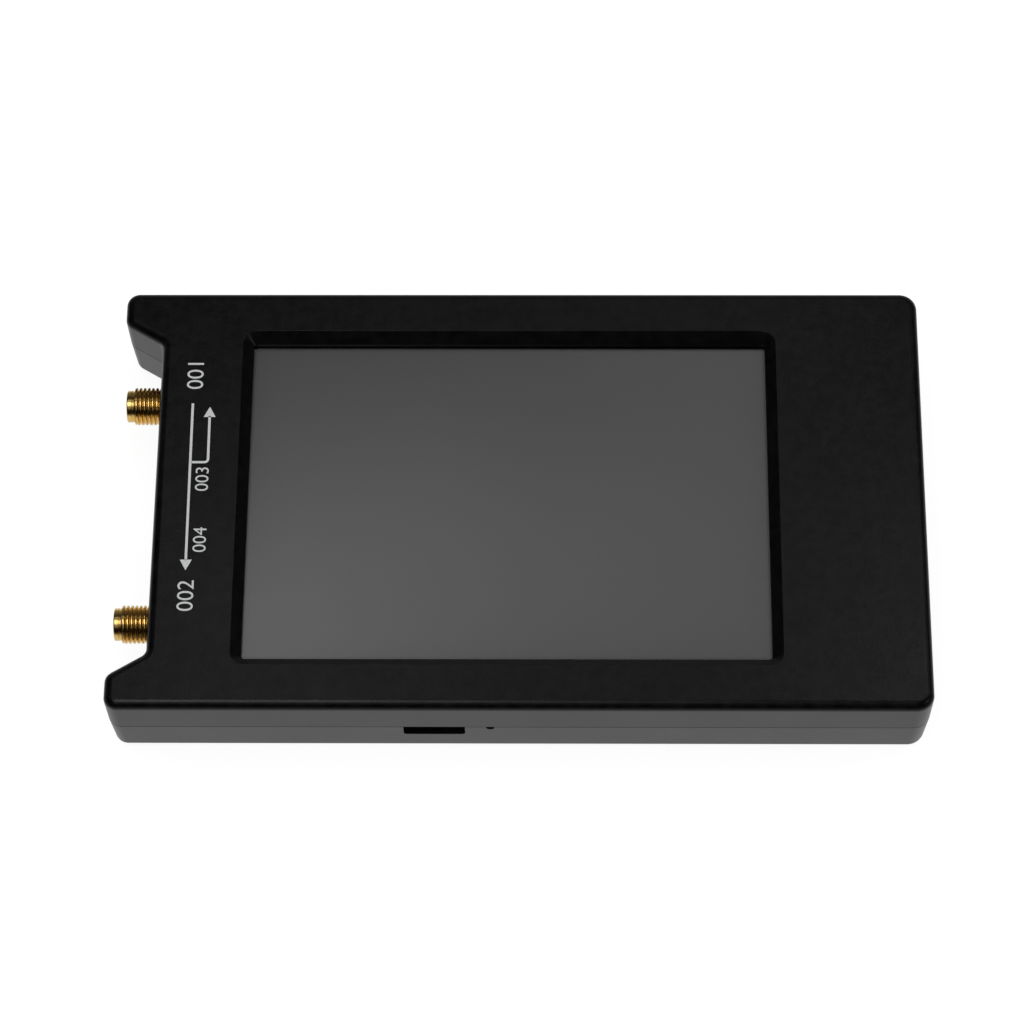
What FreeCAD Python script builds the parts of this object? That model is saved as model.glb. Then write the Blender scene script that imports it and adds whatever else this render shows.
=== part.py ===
import FreeCAD, Part
import math
import os
import re
import Sketcher

# Handheld two-port antenna analyser in a two-piece moulded ABS case.
#
# Frame, in millimetres: the origin is the centre of the flat underside, +X runs along the case away from
# the two coaxial jacks, +Y goes to the side with the switches and +Z comes out of the screen.
#
# The case is cut at split_height into a front shell, which holds the display, and a rear shell. The short
# side at -X is set back between two ears, and the jacks stand in that bay.

SIZES = {
    # Case, measured at the parting line
    "case_length": 134.9,
    "case_width": 77.6,
    "case_height": 17.0,
    "front_depth": 8.2,
    "wall": 2.0,
    "face_thickness": 2.4,
    "floor_thickness": 2.0,
    "face_draft": 1.0,
    "base_draft": 3.0,
    "end_draft": 5.5,
    "corner_radius": 2.9,
    "ear_radius": 2.2,
    "ear_tip_radius": 2.0,
    "bay_corner_radius": 1.6,
    "face_edge_radius": 1.5,
    "base_edge_radius": 1.5,
    "bay_depth": 6.55,
    "ear_root_width": 9.8,
    "ear_end_width": 5.8,
    "lip_height": 1.2,
    "lip_thickness": 0.85,
    "lip_gap": 0.1,
    "cut_margin": 0.5,
    # Window over the screen: what is left of the face on each side
    "window_left": 21.95,
    "window_right": 25.95,
    "window_side": 9.3,
    "window_bevel": 1.75,
    "window_radius": 0.6,
    # Circuit board
    "board_drop": 0.05,
    "board_thickness": 1.0,
    "board_gap": 0.4,
    "board_corner": 1.0,
    # Case screws and their bosses
    "screw_bay_inset": 6.9,
    "screw_end_inset": 7.45,
    "screw_side_inset": 5.8,
    "screw_radius": 1.25,
    "screw_length": 9.0,
    "screw_fit": 0.05,
    "screw_hole_radius": 1.5,
    "screw_head_radius": 2.2,
    "screw_head_height": 1.6,
    "well_radius": 2.6,
    "well_depth": 3.2,
    "rear_boss_radius": 3.4,
    "front_boss_radius": 2.6,
    # Display stack
    "gasket_thickness": 0.3,
    "gasket_setback": 0.4,
    "touch_end_border": 4.75,
    "touch_side_border": 1.8,
    "touch_thickness": 1.1,
    "lcd_end_border": 3.5,
    "lcd_side_border": 0.5,
    "lcd_thickness": 1.25,
    "tray_rim": 0.4,
    "tray_thickness": 1.5,
    "pad_end_inset": 3.0,
    "pad_side_inset": 6.0,
    "pad_width": 6.0,
    "panel_gap": 0.25,
    "panel_rib": 1.0,
    "panel_rib_height": 1.3,
    # Flat cables from the display to the board
    "flex_thickness": 0.2,
    "flex_run": 2.0,
    "touch_flex_width": 7.0,
    "touch_flex_inset": 8.3,
    "socket_reach": 7.0,
    "socket_depth": 4.5,
    "socket_height": 2.0,
    "socket_cheek": 2.0,
    "socket_slot": 0.35,
    "socket_entry": 2.5,
    "socket_gap": 0.5,
    # Coaxial jacks
    "jack_pitch": 41.2,
    "jack_drop": 0.35,
    "jack_barrel": 8.35,
    "nose_length": 1.35,
    "nose_radius": 2.7,
    "nose_bevel": 0.25,
    "thread_radius": 3.175,
    "thread_length": 4.7,
    "neck_radius": 3.0,
    "mouth_radius": 2.3,
    "mouth_depth": 1.9,
    "dielectric_radius": 2.05,
    "contact_radius": 0.635,
    "contact_bore": 0.47,
    "contact_socket": 3.0,
    "flange_size": 6.35,
    "flange_thickness": 1.55,
    "flange_gap": 0.05,
    "leg_width": 1.0,
    "leg_thickness": 1.0,
    "leg_length": 4.5,
    "tab_length": 2.5,
    "tab_width": 0.9,
    "jack_hole_gap": 0.2,
    # Screening can and what stands under it
    "shield_jack_gap": 9.3,
    "shield_end": 12.0,
    "shield_side": 16.8,
    "shield_height": 3.0,
    "shield_sheet": 0.3,
    "shield_fit": 0.05,
    "lid_sheet": 0.25,
    "lid_skirt": 1.5,
    "mixer_pitch": 13.0,
    "mixer_inset": 10.0,
    "mixer_length": 4.9,
    "mixer_width": 3.9,
    "mixer_height": 1.4,
    "codec_column": 24.0,
    "codec_row": 11.0,
    "codec_size": 5.0,
    "codec_height": 0.9,
    "clock_row": 3.0,
    "clock_length": 4.0,
    "clock_width": 3.0,
    "clock_height": 1.0,
    "oscillator_row": 12.0,
    "oscillator_length": 3.2,
    "oscillator_width": 2.5,
    "oscillator_height": 0.9,
    # Processor, power parts and small parts
    "processor_column": 3.0,
    "processor_size": 7.0,
    "processor_height": 1.4,
    "power_chip_column": 1.5,
    "power_chip_inset": 11.8,
    "power_chip_length": 4.9,
    "power_chip_width": 3.9,
    "power_chip_height": 1.5,
    "inductor_column": 6.0,
    "inductor_inset": 10.8,
    "inductor_size": 4.0,
    "inductor_height": 2.6,
    "regulator_jack_inset": 18.0,
    "regulator_pitch": 8.0,
    "regulator_inset": 9.8,
    "regulator_length": 6.5,
    "regulator_width": 3.5,
    "regulator_height": 1.6,
    "chip_count": 8,
    "chip_pitch": 3.0,
    "chip_aisle": 12.0,
    "chip_length": 1.6,
    "chip_width": 0.8,
    "chip_height": 0.5,
    # USB socket and charge light
    "usb_place": 13.9,
    "usb_width": 8.94,
    "usb_height": 3.26,
    "usb_length": 7.3,
    "usb_sheet": 0.3,
    "usb_radius": 1.2,
    "usb_back": 1.6,
    "usb_setback": 0.1,
    "tongue_width": 6.69,
    "tongue_thickness": 0.7,
    "tongue_length": 4.5,
    "usb_slot_width": 10.1,
    "usb_slot_height": 3.2,
    "usb_slot_radius": 0.6,
    "light_place": 4.7,
    "light_length": 1.6,
    "light_depth": 0.8,
    "light_height": 0.65,
    "notch_radius": 0.66,
    "notch_depth": 0.95,
    # Power slide switch
    "power_end_inset": 22.45,
    "power_travel": 2.0,
    "power_length": 8.4,
    "power_depth": 3.2,
    "power_height": 3.0,
    "power_sheet": 0.25,
    "power_base_depth": 0.8,
    "power_block_length": 5.5,
    "power_stem_width": 2.0,
    "power_stem_height": 1.4,
    "power_slack": 0.2,
    "power_reach": 1.3,
    "switch_wall_gap": 0.3,
    "switch_slot_height": 2.9,
    "switch_slot_gap": 0.4,
    # Three-way jog switch
    "switch_spacing": 25.0,
    "jog_travel": 0.4,
    "jog_swing": 12.0,
    "jog_length": 11.0,
    "jog_depth": 6.3,
    "jog_height": 3.4,
    "jog_side": 1.1,
    "jog_roof": 0.75,
    "jog_back": 0.8,
    "jog_front": 0.6,
    "jog_mouth": 6.4,
    "jog_cover_sheet": 0.3,
    "jog_slack": 0.2,
    "dome_radius": 1.3,
    "dome_crown_radius": 0.5,
    "dome_height": 0.3,
    "dome_gap": 0.1,
    "carriage_plate": 0.7,
    "carriage_back": 0.4,
    "pivot_setback": 1.6,
    "pivot_radius": 0.6,
    "pivot_fit": 0.05,
    "lever_thickness": 1.3,
    "lever_hub": 1.4,
    "lever_width": 2.4,
    "thumb_width": 5.0,
    "thumb_depth": 2.6,
    "lever_reach": 1.6,
    "grip_teeth": 5,
    "grip_depth": 0.3,
    # Battery
    "battery_start": 8.0,
    "battery_end_inset": 7.45,
    "battery_side": 15.8,
    "battery_headroom": 1.5,
    "battery_edge_share": 0.4,
    "battery_tape": 0.25,
    "battery_tape_inset": 6.0,
    "fence_gap": 0.4,
    "fence_thickness": 1.0,
    "fence_height": 2.5,
    "guard_length": 3.0,
    "guard_width": 34.0,
    "guard_thickness": 0.8,
    "lead_radius": 0.5,
    "lead_pitch": 2.0,
    "lead_row": 13.0,
    "plug_width": 5.9,
    "plug_length": 5.5,
    "plug_height": 2.6,
    "plug_entry": 3.5,
    "plug_fit": 0.05,
    "header_place": 2.5,
    "header_wall": 0.8,
    "header_height": 4.2,
    "header_length": 5.0,
}

# Sizes that follow from others, so that what belongs together moves and grows together
FOLLOWS = {
    "split_height": "case_height - front_depth",
    "board_height": "split_height - board_drop",
    "jack_height": "board_height + board_thickness - jack_drop",
    "bay_width": "case_width - 2 * ear_root_width",
    "bay_mouth": "case_width - 2 * ear_end_width",
    "window_shift": "(window_left - window_right) / 2",
    "window_length": "case_length - window_left - window_right",
    "window_width": "case_width - 2 * window_side",
    "touch_length": "window_length + 2 * touch_end_border",
    "touch_width": "window_width + 2 * touch_side_border",
    "lcd_length": "window_length + 2 * lcd_end_border",
    "lcd_width": "window_width + 2 * lcd_side_border",
    "pad_length": "lcd_length - 2 * pad_end_inset",
    "pad_row": "lcd_width / 2 - pad_side_inset",
    "touch_flex_row": "touch_width / 2 - touch_flex_inset",
    "lcd_flex_width": "2 * (touch_flex_row - touch_flex_width / 2 - 2 * socket_cheek - socket_gap)",
    "screw_left": "case_length / 2 - bay_depth - screw_bay_inset",
    "screw_right": "case_length / 2 - screw_end_inset",
    "screw_row": "case_width / 2 - screw_side_inset",
    "shield_left": "case_length / 2 - bay_depth - wall - flange_gap - flange_thickness - shield_jack_gap",
    "shield_length": "shield_left - shield_end",
    "shield_width": "case_width - 2 * shield_side",
    "mixer_column": "shield_left - mixer_inset",
    "regulator_column": "shield_left - regulator_jack_inset",
    "power_chip_row": "case_width / 2 - power_chip_inset",
    "inductor_row": "case_width / 2 - inductor_inset",
    "regulator_row": "case_width / 2 - regulator_inset",
    "power_place": "case_length / 2 - power_end_inset",
    "jog_place": "power_place - switch_spacing",
    "battery_length": "case_length / 2 - battery_end_inset - battery_start",
    "battery_column": "battery_start + battery_length / 2",
    "battery_width": "case_width - 2 * battery_side",
    "battery_thickness": "board_height - floor_thickness - battery_tape - battery_headroom",
}

doc = FreeCAD.newDocument("antenna_analyser")
sheet = doc.addObject("Spreadsheet::Sheet", "Sizes")
cells = {alias: str(number) for alias, number in SIZES.items()}
cells.update((alias, "=" + rule) for alias, rule in FOLLOWS.items())
for row, (alias, content) in enumerate(cells.items(), start=1):
    sheet.set(f"A{row}", alias)
    sheet.set(f"B{row}", content)
    sheet.setAlias(f"B{row}", alias)
doc.recompute()

WORD = re.compile(r"[a-z_]+")
NODES = {}

# Rules that several pieces share, written in the aliases of the sheet
BOARD_TOP = "(board_height + board_thickness)"
FACE_INSIDE = "(case_height - face_thickness)"
TOUCH_TOP = f"({FACE_INSIDE} - gasket_thickness)"
TOUCH_UNDERSIDE = f"({TOUCH_TOP} - touch_thickness)"
TRAY_TOP = f"({TOUCH_UNDERSIDE} - lcd_thickness)"
TRAY_UNDERSIDE = f"({TRAY_TOP} - tray_thickness)"
BAY_WALL = "(-case_length / 2 + bay_depth)"
FLANGE_FRONT = f"({BAY_WALL} + wall + flange_gap)"
BOARD_LEFT = f"({FLANGE_FRONT} + flange_thickness)"
FAR_WALL_INSIDE = "(case_width / 2 - wall)"
SWITCH_FRONT = f"({FAR_WALL_INSIDE} - switch_wall_gap)"
LCD_RIGHT = "(window_shift + lcd_length / 2)"
TOUCH_RIGHT = "(window_shift + touch_length / 2)"


# ---- small tools ------------------------------------------------------------------------------------


def tied(rule):
    """The rule with each alias written as a cell of the sheet."""
    def as_cell(found):
        word = found.group()
        return "Sizes." + word if word in cells else word
    return WORD.sub(as_cell, str(rule))


def size(alias):
    """Value of a size, in millimetres."""
    return float(sheet.get(alias))


def bind(item, prop, rule):
    item.setExpression(prop, tied(rule))


def node(item, label):
    """Enters a finished piece in the list of files."""
    item.Label = label
    NODES[label] = item
    return item


def place(item, across=None, along=None, up=None):
    for axis, rule in (("x", across), ("y", along), ("z", up)):
        if rule is not None:
            bind(item, f"Placement.Base.{axis}", rule)
    return item


def box(name, low, lengths):
    """Block given by the rules of its lowest corner and of its three lengths."""
    item = doc.addObject("Part::Box", name)
    for prop, rule in zip(("Length", "Width", "Height"), lengths):
        bind(item, prop, rule)
    return place(item, *low)


def block_on_axis(name, middle, low, lengths):
    """Block centred on X at the rule middle, with low giving its lowest Y and Z."""
    return box(name, (f"{middle} - ({lengths[0]}) / 2", *low), lengths)


def cylinder(name, radius, height, centre):
    """Upright cylinder whose lower end is at centre."""
    item = doc.addObject("Part::Cylinder", name)
    bind(item, "Radius", radius)
    bind(item, "Height", height)
    return place(item, *centre)


def cut(name, base, tool):
    item = doc.addObject("Part::Cut", name)
    item.Base = base
    item.Tool = tool
    return item


def fuse(name, *pieces):
    item = doc.addObject("Part::MultiFuse", name)
    item.Shapes = list(pieces)
    return item


def group(name, *pieces):
    """Several separate solids kept as one piece."""
    item = doc.addObject("Part::Compound", name)
    item.Links = list(pieces)
    return item


def new_body(name):
    return doc.addObject("PartDesign::Body", name)


def sketch_on(body, name, plane, offset="0"):
    """Sketch on one of the body's own origin planes, moved along that plane's normal."""
    sketch = body.newObject("Sketcher::SketchObject", name)
    support = next(item for item in body.Origin.OriginFeatures if item.Role == plane)
    sketch.AttachmentSupport = [(support, "")]
    sketch.MapMode = "FlatFace"
    bind(sketch, "AttachmentOffset.Base.z", offset)
    return sketch


def pin_point(sketch, geometry, point, start, across, up):
    """Ties a point of the sketch to its two rules. start is where the point is drawn first."""
    for kind, rule, number in (("DistanceX", across, start.x), ("DistanceY", up, start.y)):
        index = sketch.addConstraint(Sketcher.Constraint(kind, -1, 1, geometry, point, number))
        bind(sketch, f"Constraints[{index}]", rule)


def polygon(sketch, corners):
    """Closed outline through corners, each a pair of rules: drawn on a circle first, then pulled to them."""
    count = len(corners)
    first = sketch.GeometryCount
    turn = 2 * math.pi / count
    ring = [FreeCAD.Vector(math.cos(turn * i), math.sin(turn * i), 0) * 10 for i in range(count)]
    for i in range(count):
        sketch.addGeometry(Part.LineSegment(ring[i], ring[(i + 1) % count]))
    for i in range(count):
        sketch.addConstraint(Sketcher.Constraint("Coincident", first + i, 2, first + (i + 1) % count, 1))
    for i, (across, up) in enumerate(corners):
        pin_point(sketch, first + i, 1, ring[i], across, up)


def rectangle(sketch, left, low, right, high):
    polygon(sketch, [(right, high), (left, high), (left, low), (right, low)])


def centred_rectangle(sketch, across, up, width, height):
    rectangle(sketch, f"{across} - ({width}) / 2", f"{up} - ({height}) / 2",
              f"{across} + ({width}) / 2", f"{up} + ({height}) / 2")


def circle(sketch, across, up, radius):
    index = sketch.addGeometry(Part.Circle(FreeCAD.Vector(1, 1, 0), FreeCAD.Vector(0, 0, 1), 1))
    size = sketch.addConstraint(Sketcher.Constraint("Radius", index, 1))
    bind(sketch, f"Constraints[{size}]", radius)
    pin_point(sketch, index, 3, FreeCAD.Vector(1, 1, 0), across, up)


def pad(body, sketch, length, backwards=False):
    feature = body.newObject("PartDesign::Pad", sketch.Name + "_pad")
    feature.Profile = sketch
    feature.Reversed = backwards
    bind(feature, "Length", length)
    doc.recompute()
    return feature


def pocket(body, sketch, depth, backwards=False):
    """Cuts against the sketch's normal, or along it where backwards. The body has to lose volume by it."""
    before = body.Shape.Volume
    feature = body.newObject("PartDesign::Pocket", sketch.Name + "_pocket")
    feature.Profile = sketch
    feature.Reversed = backwards
    bind(feature, "Length", depth)
    doc.recompute()
    if not body.Shape.Volume < before:
        raise RuntimeError(f"{feature.Name} cuts nothing")
    return feature


def revolve(body, sketch):
    """Turns the sketch round its own horizontal axis."""
    feature = body.newObject("PartDesign::Revolution", sketch.Name + "_turned")
    feature.Profile = sketch
    feature.ReferenceAxis = (sketch, ["H_Axis"])
    feature.Angle = 360
    doc.recompute()
    return feature


def dress(body, kind, name, base, edges, prop, rule):
    """Fillet or chamfer along the named edges of the feature base."""
    feature = body.newObject(f"PartDesign::{kind}", name)
    feature.Base = (base, edges)
    bind(feature, prop, rule)
    doc.recompute()
    return feature


def level_edges(feature, height, inside=None):
    """Edges that lie at one height. inside keeps only those within that distance of the Z axis, per axis."""
    def chosen(edge):
        level = all(abs(vertex.Z - height) < 1e-6 for vertex in edge.Vertexes)
        near = inside is None or all(abs(v.X) < inside[0] and abs(v.Y) < inside[1] for v in edge.Vertexes)
        return level and near
    return [f"Edge{i}" for i, edge in enumerate(feature.Shape.Edges, start=1) if chosen(edge)]


def upright_edges(feature, corners, reach=1.5):
    """Edges that rise from near the given corners, one for each corner."""
    found = []
    for corner in corners:
        options = []
        for i, edge in enumerate(feature.Shape.Edges, start=1):
            low, high = edge.Vertexes[0], edge.Vertexes[-1]
            rise = abs(high.Z - low.Z)
            sideways = math.hypot(high.X - low.X, high.Y - low.Y)
            if rise > 5 * sideways and rise > 0:
                middle = edge.CenterOfMass
                away = math.hypot(middle.x - corner.x, middle.y - corner.y)
                if away < reach:
                    options.append((away, f"Edge{i}"))
        found.append(min(options)[1])
    return found


def corner_points(sketch, numbers):
    """Places of the numbered corners of a sketch that lies level."""
    return [sketch.Geometry[number].StartPoint for number in numbers]


def draft_sides(body, base, height, angle, ends):
    """Leans upright faces about the level at height, inwards going down, so that the case narrows a little
    from its face to its base. ends picks the ends of the two ears, or else every other upright face."""
    end = -size("case_length") / 2
    faces = list(enumerate(base.Shape.Faces, start=1))
    upright = [(i, face) for i, face in faces if abs(face.normalAt(0, 0).z) < 0.5]
    sides = [f"Face{i}" for i, face in upright if (abs(face.CenterOfMass.x - end) < 1e-6) == ends]
    flat = [f"Face{i}" for i, face in faces
            if abs(face.normalAt(0, 0).z) > 0.5 and abs(face.CenterOfMass.z - height) < 1e-6]
    feature = body.newObject("PartDesign::Draft", base.Name + "_draft")
    feature.Base = (base, sides)
    feature.NeutralPlane = (base, flat)
    feature.Reversed = True
    bind(feature, "Angle", angle)
    doc.recompute()
    return feature


# ---- case -------------------------------------------------------------------------------------------


def case_outline(inset="0"):
    """Corners of the case's plan, moved inwards by inset, anticlockwise from the far right one.

    The flank of an ear runs from (0, bay_mouth / 2) to (bay_depth, bay_width / 2), measured from the end
    of the case. A line moved inwards from it by inset meets the walls beside it further from the middle,
    by inset * (flank length - fall) / bay_depth, where fall is how far the flank comes in along Y.
    """
    fall = "((bay_mouth - bay_width) / 2)"
    shift = f"({inset}) * (sqrt(bay_depth * bay_depth + {fall} * {fall}) - {fall}) / bay_depth"
    right = f"case_length / 2 - ({inset})"
    left = f"-case_length / 2 + ({inset})"
    far = f"case_width / 2 - ({inset})"
    upper = [(right, far), (left, far), (left, f"bay_mouth / 2 + {shift}"),
             (f"{BAY_WALL} + ({inset})", f"bay_width / 2 + {shift}")]
    return upper + [(across, f"-({up})") for across, up in reversed(upper)]


def moulded_block(body, name, upwards):
    """Half of the case before it is hollowed: its plan raised or lowered from the parting line, with the
    sides leaning for the mould, the upright corners rounded and the outer edge rounded."""
    split = size("split_height")
    plan = sketch_on(body, name + "_plan", "XY_Plane", "split_height")
    polygon(plan, case_outline())
    height = "case_height - split_height" if upwards else "split_height"
    block = pad(body, plan, height, backwards=not upwards)
    ends = draft_sides(body, block, split, "face_draft" if upwards else "end_draft", ends=True)
    rounded = draft_sides(body, ends, split, "face_draft" if upwards else "base_draft", ends=False)
    for number, (radius, corners) in enumerate((("corner_radius", (0, 7)), ("ear_radius", (1, 6)),
                                                ("ear_tip_radius", (2, 5)), ("bay_corner_radius", (3, 4)))):
        places = corner_points(plan, corners)
        edges = upright_edges(rounded, places)
        rounded = dress(body, "Fillet", f"{name}_corners_{number}", rounded, edges, "Radius", radius)
    level, radius = (size("case_height"), "face_edge_radius") if upwards else (0.0, "base_edge_radius")
    return dress(body, "Fillet", name + "_edge", rounded, level_edges(rounded, level), "Radius", radius)


def screw_places():
    return [(column, row) for column in ("-screw_left", "screw_right") for row in ("screw_row", "-screw_row")]


def jack_rows():
    return ("jack_pitch / 2", "-jack_pitch / 2")


def pierce_bay_wall(body, name, radius):
    """Round holes for the two jacks through the wall of the bay, cut from inside the case."""
    sketch = sketch_on(body, name, "YZ_Plane", f"{BAY_WALL} + wall + cut_margin")
    for row in jack_rows():
        circle(sketch, row, "jack_height", radius)
    return pocket(body, sketch, "wall + 2 * cut_margin")


def jog_slot_width():
    """The lever's head at full swing, on both sides, with a gap."""
    swing = f"(case_width / 2 + lever_reach - {pivot_row()}) * sin(jog_swing)"
    return f"(thumb_width + 2 * {swing} + 2 * switch_slot_gap)"


def carriage_front():
    return f"({SWITCH_FRONT} - jog_front - jog_slack)"


def pivot_row():
    return f"({carriage_front()} - pivot_setback)"


def front_shell():
    """Front half: window with a bevelled edge, cavity, locating lip, bosses and the rib round the panel."""
    body = new_body("front_shell")
    moulded_block(body, "face", upwards=True)

    cavity = sketch_on(body, "face_cavity", "XY_Plane", "split_height")
    polygon(cavity, case_outline("wall"))
    pocket(body, cavity, f"{FACE_INSIDE} - split_height", backwards=True)

    lip = sketch_on(body, "face_lip", "XY_Plane", "split_height")
    polygon(lip, case_outline("wall - lip_thickness"))
    polygon(lip, case_outline("wall"))
    pad(body, lip, "lip_height", backwards=True)

    rib = sketch_on(body, "panel_rib", "XY_Plane", FACE_INSIDE)
    for margin in ("2 * panel_gap", "2 * (panel_gap + panel_rib)"):
        centred_rectangle(rib, "window_shift", "0", f"touch_length + {margin}", f"touch_width + {margin}")
    pad(body, rib, "panel_rib_height", backwards=True)

    bosses = sketch_on(body, "face_bosses", "XY_Plane", BOARD_TOP)
    for column, row in screw_places():
        circle(bosses, column, row, "front_boss_radius")
    pad(body, bosses, f"{FACE_INSIDE} - {BOARD_TOP}")
    holes = sketch_on(body, "face_screw_holes", "XY_Plane", BOARD_TOP)
    for column, row in screw_places():
        circle(holes, column, row, "screw_radius + screw_fit")
    pocket(body, holes, f"well_depth + screw_length + cut_margin - {BOARD_TOP}", backwards=True)

    pierce_bay_wall(body, "face_jack_holes", "thread_radius + jack_hole_gap")
    throat = sketch_on(body, "face_jack_throats", "YZ_Plane", f"{BAY_WALL} + wall + cut_margin")
    half = "(thread_radius + jack_hole_gap)"
    for row in jack_rows():
        rectangle(throat, f"{row} - {half}", "split_height - lip_height - cut_margin",
                  f"{row} + {half}", "jack_height")
    pocket(body, throat, "wall + 2 * cut_margin")

    notches = sketch_on(body, "lip_notches", "XY_Plane", "split_height")
    for side, middle, width in rim_slots():
        middle_row = f"{side} * (case_width / 2 - wall + lip_thickness / 2)"
        centred_rectangle(notches, middle, middle_row, width, "lip_thickness + 2 * lip_gap")
    pocket(body, notches, "lip_height + cut_margin")

    window = sketch_on(body, "window", "XY_Plane", "case_height")
    centred_rectangle(window, "window_shift", "0", "window_length", "window_width")
    opened = pocket(body, window, "face_thickness + cut_margin")
    corners = upright_edges(opened, corner_points(window, range(4)))
    rounded = dress(body, "Fillet", "window_corners", opened, corners, "Radius", "window_radius")
    reach = (size("case_length") / 2 - size("wall"), size("case_width") / 2 - size("wall"))
    rim = level_edges(rounded, size("case_height"), inside=reach)
    dress(body, "Chamfer", "window_bevel_cut", rounded, rim, "Size", "window_bevel")
    return node(body, "front_shell")


def rim_slots():
    """Side, middle and width of each opening that starts at the parting line of a long wall."""
    return [
        ("-1", "-usb_place", "usb_slot_width"),
        ("-1", "-light_place", "2 * notch_radius"),
        ("1", "power_place", "power_stem_width + power_travel + 2 * switch_slot_gap"),
        ("1", "jog_place", jog_slot_width()),
    ]


def rear_shell():
    """Rear half: floor, rebate for the lip, screw bosses with wells, battery fence and the rim openings."""
    body = new_body("rear_shell")
    moulded_block(body, "base", upwards=False)

    cavity = sketch_on(body, "base_cavity", "XY_Plane", "split_height")
    polygon(cavity, case_outline("wall"))
    pocket(body, cavity, "split_height - floor_thickness")
    rebate = sketch_on(body, "base_rebate", "XY_Plane", "split_height")
    polygon(rebate, case_outline("wall - lip_thickness - lip_gap"))
    pocket(body, rebate, "lip_height + lip_gap")

    bosses = sketch_on(body, "base_bosses", "XY_Plane", "floor_thickness")
    for column, row in screw_places():
        circle(bosses, column, row, "rear_boss_radius")
    pad(body, bosses, "board_height - floor_thickness")
    fence = sketch_on(body, "battery_fence", "XY_Plane", "floor_thickness")
    for margin in ("2 * fence_gap", "2 * (fence_gap + fence_thickness)"):
        centred_rectangle(fence, "battery_column", "0",
                          f"battery_length + {margin}", f"battery_width + {margin}")
    pad(body, fence, "fence_height")
    wells = sketch_on(body, "screw_wells", "XY_Plane")
    holes = sketch_on(body, "base_screw_holes", "XY_Plane")
    for column, row in screw_places():
        circle(wells, column, row, "well_radius")
        circle(holes, column, row, "screw_hole_radius")
    pocket(body, wells, "well_depth", backwards=True)
    pocket(body, holes, "board_height + cut_margin", backwards=True)

    pierce_bay_wall(body, "base_jack_holes", "thread_radius + jack_hole_gap")

    near = sketch_on(body, "near_openings", "XZ_Plane", "case_width / 2 + cut_margin")
    top = "split_height + cut_margin"
    rectangle(near, "-usb_place - usb_slot_width / 2", "split_height - usb_slot_height",
              "-usb_place + usb_slot_width / 2", top)
    rectangle(near, "-light_place - notch_radius", "split_height - notch_depth + notch_radius",
              "-light_place + notch_radius", top)
    opened = pocket(body, near, "wall + 2 * cut_margin")
    sills = edges_through_wall(opened, "usb_place", "usb_slot_width", "usb_slot_height")
    dress(body, "Fillet", "usb_slot_corners", opened, sills, "Radius", "usb_slot_radius")
    far = sketch_on(body, "far_openings", "XZ_Plane", "-case_width / 2 - cut_margin")
    for side, middle, width in rim_slots()[2:]:
        rectangle(far, f"{middle} - ({width}) / 2", "split_height - switch_slot_height",
                  f"{middle} + ({width}) / 2", top)
    pocket(body, far, "wall + 2 * cut_margin", backwards=True)
    light = sketch_on(body, "light_notch", "XZ_Plane", "case_width / 2 + cut_margin")
    circle(light, "-light_place", "split_height - notch_depth + notch_radius", "notch_radius")
    pocket(body, light, "wall + 2 * cut_margin")
    return node(body, "rear_shell")


def edges_through_wall(feature, place_name, width_name, depth_name):
    """The two lower edges of a slot in the near wall, which run through the wall."""
    side = size(width_name) / 2
    height = size("split_height") - size(depth_name)
    found = []
    for i, edge in enumerate(feature.Shape.Edges, start=1):
        middle = edge.CenterOfMass
        across = abs(abs(middle.x + size(place_name)) - side) < 1e-6
        if across and middle.y < 0 and all(abs(vertex.Z - height) < 1e-6 for vertex in edge.Vertexes):
            found.append(f"Edge{i}")
    return found


def case_screws():
    """Four self-tapping screws with pan heads in the wells of the rear shell."""
    screws = []
    for number, (column, row) in enumerate(screw_places()):
        head = cylinder(f"screw_head_{number}", "screw_head_radius", "screw_head_height",
                        (column, row, "well_depth - screw_head_height"))
        shank = cylinder(f"screw_shank_{number}", "screw_radius", "screw_length", (column, row, "well_depth"))
        screws.append(fuse(f"screw_{number}", head, shank))
    return node(group("screw_set", *screws), "case_screws")


# ---- display ----------------------------------------------------------------------------------------


def panel(name, length, width, thickness, underside):
    """Flat layer of the display, centred on the window."""
    low = (f"window_shift - ({length}) / 2", f"-({width}) / 2", underside)
    return box(name, low, (length, width, thickness))


def window_gasket():
    outer = panel("gasket_sheet", "touch_length", "touch_width", "gasket_thickness", TOUCH_TOP)
    opening = panel("gasket_opening", "window_length + 2 * gasket_setback",
                    "window_width + 2 * gasket_setback", "gasket_thickness", TOUCH_TOP)
    return node(cut("gasket_ring", outer, opening), "window_gasket")


def backlight_tray():
    """Light guide in its steel tray, with a rim round three sides of the glass, open on the cable's side."""
    length, width = "lcd_length + 2 * tray_rim", "lcd_width + 2 * tray_rim"
    whole = panel("tray_whole", length, width, "tray_thickness + lcd_thickness", TRAY_UNDERSIDE)
    seat = box("tray_seat", ("window_shift - lcd_length / 2", "-lcd_width / 2", TRAY_TOP),
               ("lcd_length + 2 * tray_rim", "lcd_width", "lcd_thickness"))
    return node(cut("tray", whole, seat), "backlight_tray")


def display_pads():
    """Two strips of foam tape between the tray and the board."""
    strips = [panel(f"pad_{number}", "pad_length", "pad_width", f"{TRAY_UNDERSIDE} - {BOARD_TOP}", BOARD_TOP)
              for number in range(2)]
    for strip, row in zip(strips, ("pad_row", "-pad_row")):
        place(strip, along=f"{row} - pad_width / 2")
    return node(group("pads", *strips), "display_pads")


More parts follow.
